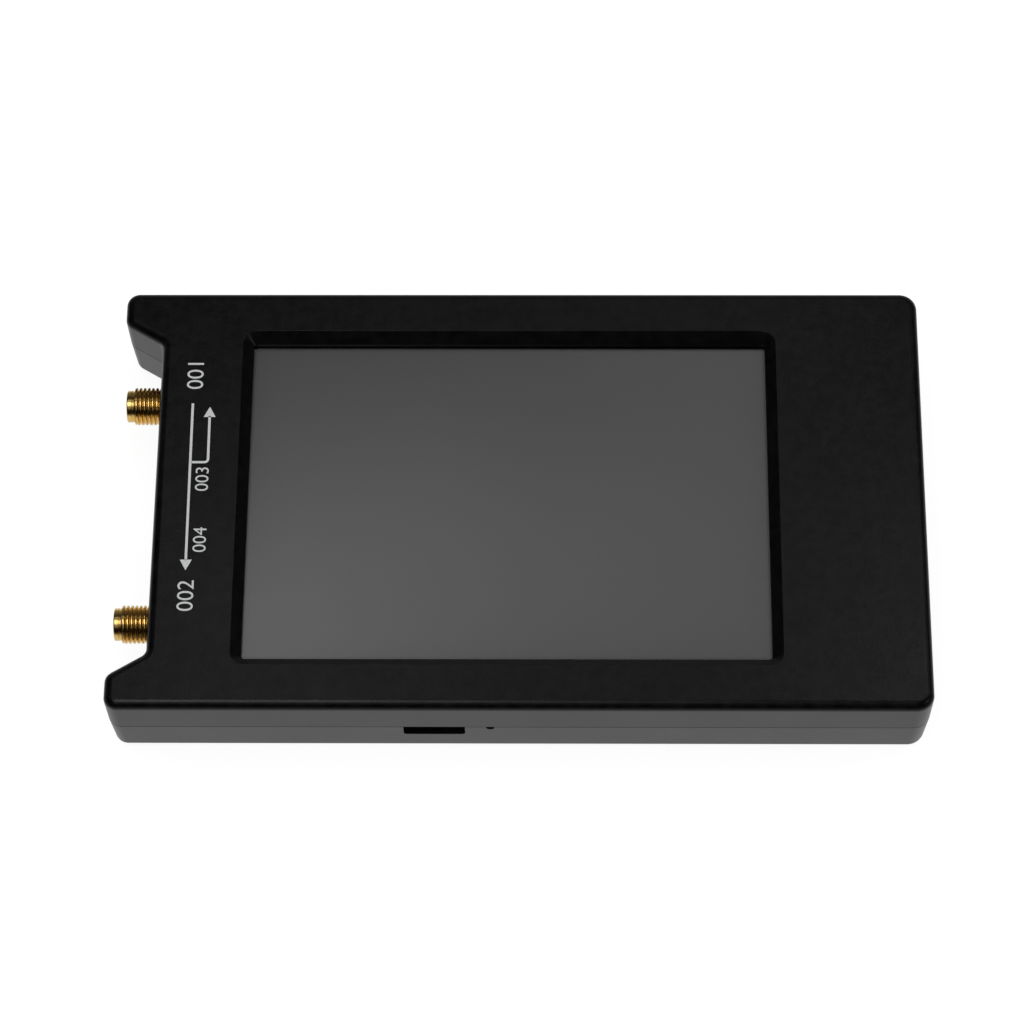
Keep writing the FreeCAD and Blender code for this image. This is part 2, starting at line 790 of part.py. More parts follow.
def flat_cable(label, start, height, row, width):
    """Flat cable that leaves the glass level, steps down and enters its socket on the board level.

    start and height are where its underside leaves the glass, in X and Z.
    """
    body = new_body(label)
    sketch = sketch_on(body, label + "_profile", "XZ_Plane", f"-({row}) - ({width}) / 2")
    low = f"{BOARD_TOP} + (socket_height - flex_thickness) / 2"
    turn = f"{start} + flex_run"
    foot = f"{LCD_RIGHT} + socket_reach - flex_run / 2"
    end = f"{LCD_RIGHT} + socket_reach + socket_entry"
    lower = [(start, height), (turn, height), (foot, low), (end, low)]
    upper = [(start, f"{height} + flex_thickness"),
             (f"{turn} + flex_thickness", f"{height} + flex_thickness"),
             (f"{foot} + flex_thickness", f"{low} + flex_thickness"), (end, f"{low} + flex_thickness")]
    polygon(sketch, lower + upper[::-1])
    pad(body, sketch, width)
    return node(body, label)


def cable_socket(label, row, width):
    """Socket on the board for a flat cable, with a slot in its front."""
    low = (f"{LCD_RIGHT} + socket_reach", f"{row} - ({width}) / 2 - socket_cheek", BOARD_TOP)
    case = box(label + "_case", low, ("socket_depth", f"({width}) + 2 * socket_cheek", "socket_height"))
    slot = box(label + "_slot", (low[0], f"{row} - ({width}) / 2 - socket_slot / 2",
                                 f"{BOARD_TOP} + (socket_height - socket_slot) / 2"),
               ("socket_entry + socket_slot / 2", f"({width}) + socket_slot", "socket_slot"))
    return node(cut(label + "_cut", case, slot), label)


def display():
    window_gasket()
    touch = panel("touch_sheet", "touch_length", "touch_width", "touch_thickness", TOUCH_UNDERSIDE)
    node(touch, "touch_panel")
    node(panel("lcd_sheet", "lcd_length", "lcd_width", "lcd_thickness", TRAY_TOP), "lcd_panel")
    backlight_tray()
    display_pads()
    flat_cable("lcd_flex", LCD_RIGHT, f"{TRAY_TOP} + lcd_thickness / 2", "0", "lcd_flex_width")
    cable_socket("lcd_socket", "0", "lcd_flex_width")
    flat_cable("touch_flex", f"{TOUCH_RIGHT} - tray_rim", f"{TOUCH_UNDERSIDE} - flex_thickness",
               "touch_flex_row", "touch_flex_width")
    cable_socket("touch_socket", "touch_flex_row", "touch_flex_width")


# ---- board and what is soldered to it ---------------------------------------------------------------


def main_board():
    body = new_body("main_board")
    plan = sketch_on(body, "board_plan", "XY_Plane", "board_height")
    rectangle(plan, BOARD_LEFT, f"-({FAR_WALL_INSIDE} - board_gap)",
              "case_length / 2 - wall - board_gap", f"{FAR_WALL_INSIDE} - board_gap")
    slab = pad(body, plan, "board_thickness")
    corners = upright_edges(slab, corner_points(plan, range(4)))
    dress(body, "Fillet", "board_corners", slab, corners, "Radius", "board_corner")
    holes = sketch_on(body, "board_holes", "XY_Plane", BOARD_TOP)
    for column, row in screw_places():
        circle(holes, column, row, "screw_hole_radius")
    pocket(body, holes, "board_thickness + cut_margin")
    return node(body, "main_board")


def under_board(label, column, row, length, width, height):
    """Block soldered to the underside of the board, centred on column and row."""
    return box(label, (f"{column} - ({length}) / 2", f"{row} - ({width}) / 2", f"board_height - ({height})"),
               (length, width, height))


def jack_body(label, row):
    """Edge-mounted coaxial jack: turned barrel with its plain nose, square flange and four legs.

    Its own origin is on its axis at the front of the flange, and the barrel points along -X.
    """
    body = new_body(label)
    turned = sketch_on(body, label + "_barrel", "XZ_Plane")
    shoulder = "-jack_barrel + nose_length"
    polygon(turned, [
        ("0", "dielectric_radius"), ("0", "neck_radius"),
        (f"{shoulder} + thread_length", "neck_radius"), (f"{shoulder} + thread_length", "thread_radius"),
        (shoulder, "thread_radius"), (shoulder, "nose_radius"),
        ("-jack_barrel + nose_bevel", "nose_radius"), ("-jack_barrel", "nose_radius - nose_bevel"),
        ("-jack_barrel", "mouth_radius"), ("-jack_barrel + mouth_depth", "mouth_radius"),
        ("-jack_barrel + mouth_depth", "dielectric_radius"),
    ])
    revolve(body, turned)
    flange = sketch_on(body, label + "_flange", "YZ_Plane")
    centred_rectangle(flange, "0", "0", "flange_size", "flange_size")
    circle(flange, "0", "0", "dielectric_radius")
    pad(body, flange, "flange_thickness")
    legs = sketch_on(body, label + "_legs", "YZ_Plane", "flange_thickness")
    for side in ("1", "-1"):
        for low in (f"{BOARD_TOP} - jack_height", "board_height - jack_height - leg_thickness"):
            centred_rectangle(legs, f"{side} * (flange_size - leg_width) / 2", f"{low} + leg_thickness / 2",
                              "leg_width", "leg_thickness")
    pad(body, legs, "leg_length")
    return node(place(body, FLANGE_FRONT, row, "jack_height"), label)


def lying_rod(name, radius, start, length, row, height="jack_height"):
    """Rod along X, on a jack's axis unless another height is given."""
    rod = doc.addObject("Part::Cylinder", name)
    bind(rod, "Radius", radius)
    bind(rod, "Height", length)
    rod.Placement.Rotation = FreeCAD.Rotation(FreeCAD.Vector(0, 1, 0), 90)
    return place(rod, start, row, height)


def jack_inside(label, row):
    """Insulator, and the contact in it with its open socket and its solder tab."""
    tip = f"({FLANGE_FRONT} - jack_barrel + mouth_depth)"
    length = f"{BOARD_LEFT} - {tip}"
    bead = lying_rod(label + "_bead", "dielectric_radius", tip, length, row)
    passage = lying_rod(label + "_passage", "contact_radius", tip, length, row)
    node(cut(label + "_insulator_cut", bead, passage), label + "_insulator")
    rod = lying_rod(label + "_rod", "contact_radius", tip, length, row)
    bore = lying_rod(label + "_bore", "contact_bore", tip, "contact_socket", row)
    tab = box(label + "_tab", (BOARD_LEFT, f"{row} - tab_width / 2", BOARD_TOP),
              ("tab_length", "tab_width", f"jack_height + contact_radius - {BOARD_TOP}"))
    pin = cut(label + "_pin", rod, bore)
    node(fuse(label + "_contact_fused", pin, tab), label + "_contact")


def jacks():
    for number, row in enumerate(jack_rows()):
        jack_body(f"jack_{number}_body", row)
        jack_inside(f"jack_{number}", row)


def shield():
    """Screening can over the receiver: a soldered frame and a lid that clips over it from below."""
    low = "board_height - shield_height"
    left, near = "-shield_left", "-shield_width / 2"
    fence = box("shield_fence", (left, near, low), ("shield_length", "shield_width", "shield_height"))
    hollow = box("shield_hollow", (f"{left} + shield_sheet", f"{near} + shield_sheet", low),
                 ("shield_length - 2 * shield_sheet", "shield_width - 2 * shield_sheet", "shield_height"))
    node(cut("shield_cut", fence, hollow), "shield_frame")
    edge = "(lid_sheet + shield_fit)"
    cap = box("lid_cap", (f"{left} - {edge}", f"{near} - {edge}", f"{low} - lid_sheet"),
              (f"shield_length + 2 * {edge}", f"shield_width + 2 * {edge}", "lid_sheet + lid_skirt"))
    room = box("lid_room", (f"{left} - shield_fit", f"{near} - shield_fit", low),
               ("shield_length + 2 * shield_fit", "shield_width + 2 * shield_fit", "lid_skirt"))
    node(cut("lid_cut", cap, room), "shield_lid")


def chips():
    mixers = [under_board(f"mixer_{n}", "-mixer_column", f"{n - 1} * mixer_pitch",
                          "mixer_length", "mixer_width", "mixer_height") for n in range(3)]
    node(group("mixers", *mixers), "mixer_chips")
    single = {
        "codec_chip": ("-codec_column", "codec_row", "codec_size", "codec_size", "codec_height"),
        "clock_chip": ("-codec_column", "-clock_row", "clock_length", "clock_width", "clock_height"),
        "reference_oscillator": ("-codec_column", "-oscillator_row",
                                 "oscillator_length", "oscillator_width", "oscillator_height"),
        "processor": ("-processor_column", "0", "processor_size", "processor_size", "processor_height"),
        "power_chip": ("-power_chip_column", "-power_chip_row",
                       "power_chip_length", "power_chip_width", "power_chip_height"),
        "power_inductor": ("inductor_column", "-inductor_row",
                           "inductor_size", "inductor_size", "inductor_height"),
    }
    for label, rules in single.items():
        node(under_board(label, *rules), label)
    pair = [under_board(f"regulator_{n}", f"-regulator_column - {n} * regulator_pitch", "-regulator_row",
                        "regulator_length", "regulator_width", "regulator_height") for n in range(2)]
    node(group("regulator_pair", *pair), "regulators")
    small = []
    for side in ("-1", "1"):
        for n in range(SIZES["chip_count"]):
            small.append(under_board(f"chip_{len(small)}", f"-processor_column + {side} * chip_aisle / 2",
                                     f"({n} - (chip_count - 1) / 2) * chip_pitch",
                                     "chip_length", "chip_width", "chip_height"))
    node(group("chip_rows", *small), "small_parts")


def usb_socket():
    """Socket under the board's near edge: rolled steel shell, and the tongue on its moulded back."""
    body = new_body("usb_shell")
    front = f"({FAR_WALL_INSIDE} - usb_setback)"
    middle = "board_height - usb_height / 2"
    half_length = size("usb_length") / 2

    def long_edges(feature, half_width):
        edges = enumerate(feature.Shape.Edges, start=1)
        return [f"Edge{i}" for i, edge in edges
                if abs(edge.Vertexes[0].Y - edge.Vertexes[-1].Y) > half_length
                and abs(abs(edge.CenterOfMass.x + size("usb_place")) - half_width) < 1e-6]

    outer = sketch_on(body, "usb_outer", "XZ_Plane", front)
    centred_rectangle(outer, "-usb_place", middle, "usb_width", "usb_height")
    pad(body, outer, "usb_length", backwards=True)
    inner = sketch_on(body, "usb_inner", "XZ_Plane", front)
    centred_rectangle(inner, "-usb_place", middle, "usb_width - 2 * usb_sheet", "usb_height - 2 * usb_sheet")
    hollow = pocket(body, inner, "usb_length")
    half_width = size("usb_width") / 2
    edges = long_edges(hollow, half_width - size("usb_sheet"))
    rolled = dress(body, "Fillet", "usb_rolled_inside", hollow, edges, "Radius", "usb_radius - usb_sheet")
    dress(body, "Fillet", "usb_rolled", rolled, long_edges(rolled, half_width), "Radius", "usb_radius")
    node(body, "usb_shell")

    rear = f"(-{front} + usb_length)"
    backing = block_on_axis("usb_backing", "-usb_place",
                            (f"{rear} - usb_back", "board_height - usb_height + usb_sheet"),
                            ("usb_width - 2 * usb_radius", "usb_back", "usb_height - 2 * usb_sheet"))
    tongue = block_on_axis("usb_blade", "-usb_place",
                           (f"{rear} - usb_back - tongue_length", f"{middle} - tongue_thickness / 2"),
                           ("tongue_width", "tongue_length", "tongue_thickness"))
    node(fuse("usb_tongue_fused", backing, tongue), "usb_tongue")


def charge_light():
    """Light-emitting diode behind the notch in the rim."""
    low = (f"-({FAR_WALL_INSIDE} - board_gap)", "board_height - light_height")
    light = block_on_axis("light", "-light_place", low, ("light_length", "light_depth", "light_height"))
    node(light, "charge_light")


# ---- switches ---------------------------------------------------------------------------------------


def ridged_end(width, tip):
    """Points of a finger grip's end, from +width / 2 to -width / 2: ridges up to tip, grip_depth high."""
    points = [(f"({width}) / 2", f"{tip} - grip_depth")]
    for n in range(SIZES["grip_teeth"]):
        points.append((f"({width}) * (1 / 2 - ({n} + 0.5) / grip_teeth)", tip))
        points.append((f"({width}) * (1 / 2 - {n + 1} / grip_teeth)", f"{tip} - grip_depth"))
    return points


def power_switch():
    """Slide switch under the far edge of the board: steel frame, plastic base and the slider."""
    rear = f"{SWITCH_FRONT} - power_depth"
    low = "board_height - power_height"
    case = block_on_axis("power_case", "power_place", (rear, low),
                         ("power_length", "power_depth", "power_height"))
    room = block_on_axis("power_room", "power_place", (rear, f"{low} + power_sheet"),
                         ("power_length - 2 * power_sheet", "power_depth - power_sheet",
                          "power_height - 2 * power_sheet"))
    middle = f"{low} + power_height / 2"
    slot_height = "(power_stem_height + 2 * power_slack)"
    slot = block_on_axis("power_window", "power_place",
                         (f"{SWITCH_FRONT} - 2 * power_sheet", f"{middle} - {slot_height} / 2"),
                         ("power_stem_width + power_travel + 2 * power_slack", "4 * power_sheet",
                          slot_height))
    node(cut("power_frame_cut", case, fuse("power_spaces", room, slot)), "power_switch_frame")
    base = block_on_axis("power_base", "power_place", (rear, f"{low} + power_sheet"),
                         ("power_length - 2 * power_sheet", "power_base_depth",
                          "power_height - 2 * power_sheet"))
    node(base, "power_switch_base")

    body = new_body("power_slider")
    inner_height = "power_height - 2 * power_sheet - 2 * power_slack"
    carrier = sketch_on(body, "slider_carrier", "XY_Plane", f"-({inner_height}) / 2")
    back = f"({rear} + power_base_depth + power_slack)"
    front = f"({SWITCH_FRONT} - power_sheet - power_slack)"
    rectangle(carrier, "-power_block_length / 2", back, "power_block_length / 2", front)
    pad(body, carrier, inner_height)
    stem = sketch_on(body, "slider_stem", "XY_Plane", "-power_stem_height / 2")
    half = "power_stem_width / 2"
    end = ridged_end("power_stem_width", "(case_width / 2 + power_reach)")
    polygon(stem, [(half, back), *end, (f"-{half}", back)])
    pad(body, stem, "power_stem_height")
    node(place(body, "power_place - power_travel / 2", None, middle), "power_slider")


def jog_switch():
    """Lever switch under the far edge: its lever rocks on a carriage, which pushes in on a snap dome."""
    rear = f"({SWITCH_FRONT} - jog_depth)"
    low = "board_height - jog_height"
    inner = "jog_length - 2 * jog_side"
    case = block_on_axis("jog_case", "jog_place", (rear, low), ("jog_length", "jog_depth", "jog_height"))
    room = block_on_axis("jog_room", "jog_place", (f"{rear} + jog_back", low),
                         (inner, "jog_depth - jog_back - jog_front", "jog_height - jog_roof"))
    mouth = block_on_axis("jog_opening", "jog_place", (f"{rear} + jog_back", low),
                          ("jog_mouth", "jog_depth", "jog_height - jog_roof"))
    node(cut("jog_case_cut", case, fuse("jog_spaces", room, mouth)), "jog_housing")
    node(block_on_axis("jog_plate", "jog_place", (rear, f"{low} - jog_cover_sheet"),
                       ("jog_length", "jog_depth", "jog_cover_sheet")), "jog_cover")
    node(jog_dome(rear, low), "jog_dome")

    plate_low = f"({low} + jog_slack)"
    back = f"({rear} + jog_back + dome_height + jog_travel + dome_gap)"
    plate = block_on_axis("carriage_plate_block", "jog_place", (back, plate_low),
                          (f"{inner} - 2 * jog_slack", f"{carriage_front()} - {back}", "carriage_plate"))
    height = "jog_height - jog_roof - 2 * jog_slack"
    wall = block_on_axis("carriage_wall", "jog_place", (back, plate_low),
                         (f"{inner} - 2 * jog_slack", "carriage_back", height))
    pivot = cylinder("carriage_pivot", "pivot_radius", height, ("jog_place", pivot_row(), plate_low))
    node(fuse("carriage_fused", plate, wall, pivot), "jog_carriage")
    jog_lever(f"{plate_low} + carriage_plate + jog_slack")


def jog_dome(rear, low):
    """Spring-steel snap dome on the housing's back wall, its crown towards the lever."""
    dome = doc.addObject("Part::Cone", "dome_cone")
    bind(dome, "Radius1", "dome_radius")
    bind(dome, "Radius2", "dome_crown_radius")
    bind(dome, "Height", "dome_height")
    dome.Placement.Rotation = FreeCAD.Rotation(FreeCAD.Vector(1, 0, 0), -90)
    return place(dome, "jog_place", f"{rear} + jog_back", f"{low} + (jog_height - jog_roof) / 2")


def jog_lever(underside):
    """Lever with its hub on the carriage's pivot and a ridged thumb piece outside the case."""
    body = new_body("jog_lever")
    arm = sketch_on(body, "lever_arm", "XY_Plane")
    tip = f"(case_width / 2 + lever_reach - {pivot_row()})"
    root = f"({tip} - thumb_depth)"
    polygon(arm, [("lever_width / 2", "0"), ("lever_width / 2", root), ("thumb_width / 2", root),
                  *ridged_end("thumb_width", tip), ("-thumb_width / 2", root), ("-lever_width / 2", root),
                  ("-lever_width / 2", "0")])
    pad(body, arm, "lever_thickness")
    hub = sketch_on(body, "lever_hub_plan", "XY_Plane")
    circle(hub, "0", "0", "lever_hub")
    pad(body, hub, "lever_thickness")
    bore = sketch_on(body, "lever_bore", "XY_Plane", "lever_thickness")
    circle(bore, "0", "0", "pivot_radius + pivot_fit")
    pocket(body, bore, "lever_thickness + cut_margin")
    node(place(body, "jog_place", pivot_row(), underside), "jog_lever")


# ---- battery ----------------------------------------------------------------------------------------

PLUG_AXIS = "(board_height - header_height / 2)"
PLUG_LEFT = "(-header_place - plug_entry)"
CELL_LEFT = "battery_start"


def battery():
    """Flat pouch cell taped to the floor, with the guard board along its end."""
    body = new_body("battery_cell")
    plan = sketch_on(body, "cell_plan", "XY_Plane", "floor_thickness + battery_tape")
    centred_rectangle(plan, "battery_column", "0", "battery_length", "battery_width")
    solid = pad(body, plan, "battery_thickness")
    along = [f"Edge{i}" for i, edge in enumerate(solid.Shape.Edges, start=1)
             if abs(edge.Vertexes[0].X - edge.Vertexes[-1].X) > 1e-6]
    dress(body, "Fillet", "cell_edges", solid, along, "Radius",
          "battery_thickness * battery_edge_share")
    node(body, "battery_cell")
    tape = block_on_axis("tape", "battery_column",
                         ("-battery_width / 2 + battery_tape_inset", "floor_thickness"),
                         ("battery_length - 2 * battery_tape_inset",
                          "battery_width - 2 * battery_tape_inset", "battery_tape"))
    node(tape, "battery_tape")
    corner = (f"{CELL_LEFT} - guard_length", "-guard_width / 2", f"{PLUG_AXIS} - guard_thickness / 2")
    node(box("guard", corner, ("guard_length", "guard_width", "guard_thickness")), "battery_guard")


def battery_connection():
    """Header on the board with its mouth towards the cell, the plug in it and the two leads."""
    width = "(plug_width + 2 * (header_wall + plug_fit))"
    case = box("header_case",
               ("-header_place - header_length", f"lead_row - {width} / 2", "board_height - header_height"),
               ("header_length", width, "header_height"))
    room_width = "(plug_width + 2 * plug_fit)"
    room = box("header_room", (f"{PLUG_LEFT} - plug_fit", f"lead_row - {room_width} / 2",
                               f"{PLUG_AXIS} - plug_height / 2 - plug_fit"),
               ("plug_entry + plug_fit", room_width, "plug_height + 2 * plug_fit"))
    node(cut("header_cut", case, room), "battery_header")
    plug = box("plug", (PLUG_LEFT, "lead_row - plug_width / 2", f"{PLUG_AXIS} - plug_height / 2"),
               ("plug_length", "plug_width", "plug_height"))
    node(plug, "battery_plug")
    start = f"({PLUG_LEFT} + plug_length)"
    leads = [lying_rod(f"lead_{side}", "lead_radius", start, f"{CELL_LEFT} - guard_length - {start}",
                       f"lead_row + {side} * lead_pitch / 2", PLUG_AXIS) for side in (-1, 1)]
    node(group("leads", *leads), "battery_leads")


# ---- assembly ---------------------------------------------------------------------------------------

front_shell()
rear_shell()
case_screws()
display()
main_board()
jacks()
shield()
chips()
usb_socket()
charge_light()
power_switch()
jog_switch()
battery()
battery_connection()
doc.recompute()

for item in doc.Objects:
    if "Invalid" in item.State or "Error" in item.State:
        raise RuntimeError(f"{item.Label} did not build: {item.State}")
for label, item in NODES.items():
    if item.Shape.isNull() or not item.Shape.isValid() or not item.Shape.Solids:
        raise RuntimeError(f"{label} has no valid solid")

os.makedirs("parts", exist_ok=True)
for label, item in NODES.items():
    item.Shape.exportStep(f"parts/{label}.step")
    print(f"{label:24s} {len(item.Shape.Solids):3d} solids {item.Shape.Volume:10.2f} mm3")
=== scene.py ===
import math

import bmesh
import bpy
import numpy as np
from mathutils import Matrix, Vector


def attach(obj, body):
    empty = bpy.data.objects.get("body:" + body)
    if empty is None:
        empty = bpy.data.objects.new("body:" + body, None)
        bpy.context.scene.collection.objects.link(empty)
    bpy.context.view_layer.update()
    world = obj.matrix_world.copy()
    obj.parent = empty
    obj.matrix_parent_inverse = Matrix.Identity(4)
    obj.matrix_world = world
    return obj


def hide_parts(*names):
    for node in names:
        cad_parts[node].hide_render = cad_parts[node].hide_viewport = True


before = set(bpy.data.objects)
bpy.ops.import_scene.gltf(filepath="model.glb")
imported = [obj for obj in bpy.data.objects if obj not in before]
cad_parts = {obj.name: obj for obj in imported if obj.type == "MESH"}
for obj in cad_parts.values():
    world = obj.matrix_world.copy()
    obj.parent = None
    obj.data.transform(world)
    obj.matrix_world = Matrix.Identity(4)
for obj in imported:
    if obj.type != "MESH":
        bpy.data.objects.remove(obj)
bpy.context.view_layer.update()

# Handheld two-port antenna analyser lying on its back: black moulded case, grey touch screen, two gold
# coaxial jacks between the ears of its left end. Lengths are millimetres unless a comment says otherwise,
# and MM turns them to metres.

MM = 0.001

FACE = 17.0                # height of the case's face
PARTING = 8.8              # height at which its two halves meet
CASE_HALF = (67.5, 38.8)   # half length and half width of the case
SCREEN_MIDDLE = (-2.0, 0.0)
LIT_HALF = (43.55, 29.1)   # half length and half width of the panel's lit area
JACK_ROWS = (20.6, -20.6)
JACK_HEIGHT = 9.4
FLANGE_FRONT = -58.85      # place of the jacks' flanges along the case
PITCH = 25.4 / 36          # of the jacks' thread


# ---- tools for meshes -------------------------------------------------------------------------------


def piece(name, points, faces, material, body="root", slot=None, replaces=(), smooth=True, sharp=30):
    """Object from points in millimetres and faces. Points that coincide are merged, and then every closed
    shell is turned outwards. Edges sharper than the angle stay crisp."""
    mesh = bpy.data.meshes.new(name)
    mesh.from_pydata((np.asarray(points, float) * MM).tolist(), [], [list(face) for face in faces])
    work = bmesh.new()
    work.from_mesh(mesh)
    bmesh.ops.remove_doubles(work, verts=work.verts, dist=0.0001 * MM)
    bmesh.ops.recalc_face_normals(work, faces=work.faces)
    work.to_mesh(mesh)
    work.free()
    dress(name, mesh, material, body, replaces, smooth, sharp)


def dress(name, mesh, material, body, replaces, smooth=True, sharp=30):
    """Object on a mesh that is in place, with its finish, its body and the CAD nodes that it stands for."""
    mesh.polygons.foreach_set("use_smooth", np.full(len(mesh.polygons), smooth))
    if smooth:
        mesh.set_sharp_from_angle(angle=math.radians(sharp))
    mesh.materials.clear()
    mesh.materials.append(material)
    item = bpy.data.objects.new(name, mesh)
    bpy.context.scene.collection.objects.link(item)
    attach(item, body)
    if replaces:
        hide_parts(*replaces)
    return item


def joined(*parts):
    """One list of points and one of faces from several (points, faces) pairs."""
    points, faces, start = [], [], 0
    for some, more in parts:
        points.append(np.asarray(some, float))
        faces += [[i + start for i in face] for face in more]
        start += len(some)
    return np.vstack(points), faces


def grid_faces(rows, columns, close_rows=False, close_columns=False):
    """Quads of a grid of rows by columns points, the row being the slower index. Either way may close."""
    index = np.arange(rows * columns).reshape(rows, columns)
    if close_rows:
        index = np.vstack([index, index[:1]])
    if close_columns:
        index = np.hstack([index, index[:, :1]])
    corners = (index[:-1, :-1], index[:-1, 1:], index[1:, 1:], index[1:, :-1])
    return np.stack(corners, axis=-1).reshape(-1, 4).tolist()


def ring_of_revolution(profile, turns=96, swell=None):
    """Closed ring round the X axis.

    profile is a closed loop of (x, r). Point (i, j) is (x_i, r sin a_j, r cos a_j) with a_j = 2 pi j / turns
    and r = r_i, or r = swell(x_i, r_i, a_j) where swell is given.
    """
    x, r = np.asarray(profile, float).T
    a = 2 * np.pi * np.arange(turns) / turns
    x, r, a = x[:, None] + 0 * a, r[:, None] + 0 * a, a + 0 * x[:, None]
    if swell is not None:
        r = swell(x, r, a)
    points = np.stack([x, r * np.sin(a), r * np.cos(a)], axis=-1).reshape(-1, 3)
    return points, grid_faces(len(profile), turns, True, True)


def skin_of(name, material, soft, body="root", seam=None):
    """A CAD node's skin with its edges rounded by soft: a copy of its mesh is merged, its flat facets are
    joined into whole faces, and edges of more than the crisp angle get a bevel.

    seam is (height, width): outward edges that lie at that height are rounded by width instead.
    """
    crisp = 30
    work = bmesh.new()
    work.from_mesh(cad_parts[name].data)
    bmesh.ops.remove_doubles(work, verts=work.verts, dist=2e-6)
    bmesh.ops.dissolve_limit(work, angle_limit=math.radians(0.2), verts=work.verts, edges=work.edges)
    height, width = seam or (0.0, soft)
    weight = work.edges.layers.float.new("bevel_weight_edge")
    for edge in work.edges:
        turn = edge.calc_face_angle_signed(0.0)
        if abs(turn) > math.radians(crisp):
            level = all(abs(corner.co.z - height * MM) < 0.01 * MM for corner in edge.verts)
            edge[weight] = 1.0 if seam and level and turn > 0 else soft / width
    mesh = bpy.data.meshes.new(name + "_skin")
    work.to_mesh(mesh)
    work.free()
    item = dress(name + "_skin", mesh, material, body, (name,), sharp=crisp)
    bevel = item.modifiers.new("soft_edges", "BEVEL")
    bevel.width = width * MM
    bevel.segments = 2
    bevel.limit_method = "WEIGHT"
    bevel.miter_outer = "MITER_ARC"
    bevel.harden_normals = True
    item.modifiers.new("even_shading", "WEIGHTED_NORMAL").keep_sharp = True


# ---- tools for finishes -----------------------------------------------------------------------------


def linear(code):
    """Scene-linear colour of an sRGB hex code: c / 12.92 up to 0.04045, else ((c + 0.055) / 1.055) ^ 2.4."""
    parts = [int(code[i:i + 2], 16) / 255 for i in (1, 3, 5)]
    return (*[c / 12.92 if c <= 0.04045 else ((c + 0.055) / 1.055) ** 2.4 for c in parts], 1.0)


def add(tree, kind, inputs=(), stops=(), **settings):
    """Adds a node, sets its own settings and its ramp's stops, and sets or links its inputs."""
    item = tree.nodes.new(kind)
    for name, value in settings.items():
        setattr(item, name, value)
    for number, (place, code) in enumerate(stops):
        ramp = item.color_ramp.elements
        stop = ramp[number] if number < 2 else ramp.new(place)
        stop.position, stop.color = place, linear(code)
    for name, value in dict(inputs).items():
        if isinstance(value, bpy.types.NodeSocket):
            tree.links.new(value, item.inputs[name])
        else:
            item.inputs[name].default_value = value
    return item


def finish(name, code, roughness, inputs=()):
    """Material with one Principled shader. Returns it with its tree, shader and object coordinates."""
    material = bpy.data.materials.new(name)
    material.use_nodes = True
    tree = material.node_tree
    tree.nodes.clear()
    shader = add(tree, "ShaderNodeBsdfPrincipled",
                 {"Base Color": linear(code), "Roughness": roughness, **dict(inputs)})
    add(tree, "ShaderNodeOutputMaterial", {"Surface": shader.outputs[0]})
    place = add(tree, "ShaderNodeTexCoord").outputs["Object"]
    return material, tree, shader, place


def per_metre(millimetres):
    """Texture scale that gives features of that size on coordinates in metres."""
    return 1000.0 / millimetres


def mottle(tree, shader, place, grain, codes, spread=(0.35, 0.65), detail=3.0):
    """Colour that wanders between two codes over patches of about grain millimetres."""
    noise = add(tree, "ShaderNodeTexNoise", {"Vector": place, "Scale": per_metre(grain), "Detail": detail})
    ramp = add(tree, "ShaderNodeValToRGB", {"Fac": noise.outputs["Fac"]},
               stops=[(spread[0], codes[0]), (spread[1], codes[1])])
    tree.links.new(ramp.outputs["Color"], shader.inputs["Base Color"])


def uneven(tree, shader, place, grain, low, high):
    """Roughness between low and high over patches of about grain millimetres."""
    noise = add(tree, "ShaderNodeTexNoise", {"Vector": place, "Scale": per_metre(grain), "Detail": 4.0})
    span = add(tree, "ShaderNodeMapRange", {"Value": noise.outputs["Fac"], "From Min": 0.3, "From Max": 0.7,
                                           "To Min": low, "To Max": high})
    tree.links.new(span.outputs["Result"], shader.inputs["Roughness"])


def moulded_black_abs():
    """Black ABS from a spark-eroded mould: satin, with a fine even grain of about 0.15 mm, drawn here at
    0.35 mm so that it shows, a little dust in patches of 1.6 mm and below, and broad patches that handling
    has polished."""
    material, tree, shader, place = finish("moulded_black_abs", "#040405", 0.3, {"IOR": 1.52})
    grain = add(tree, "ShaderNodeTexNoise", {"Vector": place, "Scale": per_metre(0.35), "Detail": 2.0})
    relief = add(tree, "ShaderNodeBump", {"Height": grain.outputs["Fac"], "Distance": 0.017 * MM})
    tree.links.new(relief.outputs["Normal"], shader.inputs["Normal"])
    mottle(tree, shader, place, 1.6, ("#020202", "#080808"), detail=6.0)
    uneven(tree, shader, place, 14.0, 0.28, 0.32)
    return material


def printed_ink():
    """Light grey two-part ink, screen-printed: flat, matt, a little open where the grain shows through."""
    material, tree, shader, place = finish("printed_ink", "#A2A3A4", 0.6)
    mottle(tree, shader, place, 0.25, ("#999A9B", "#A9AAAB"))
    return material


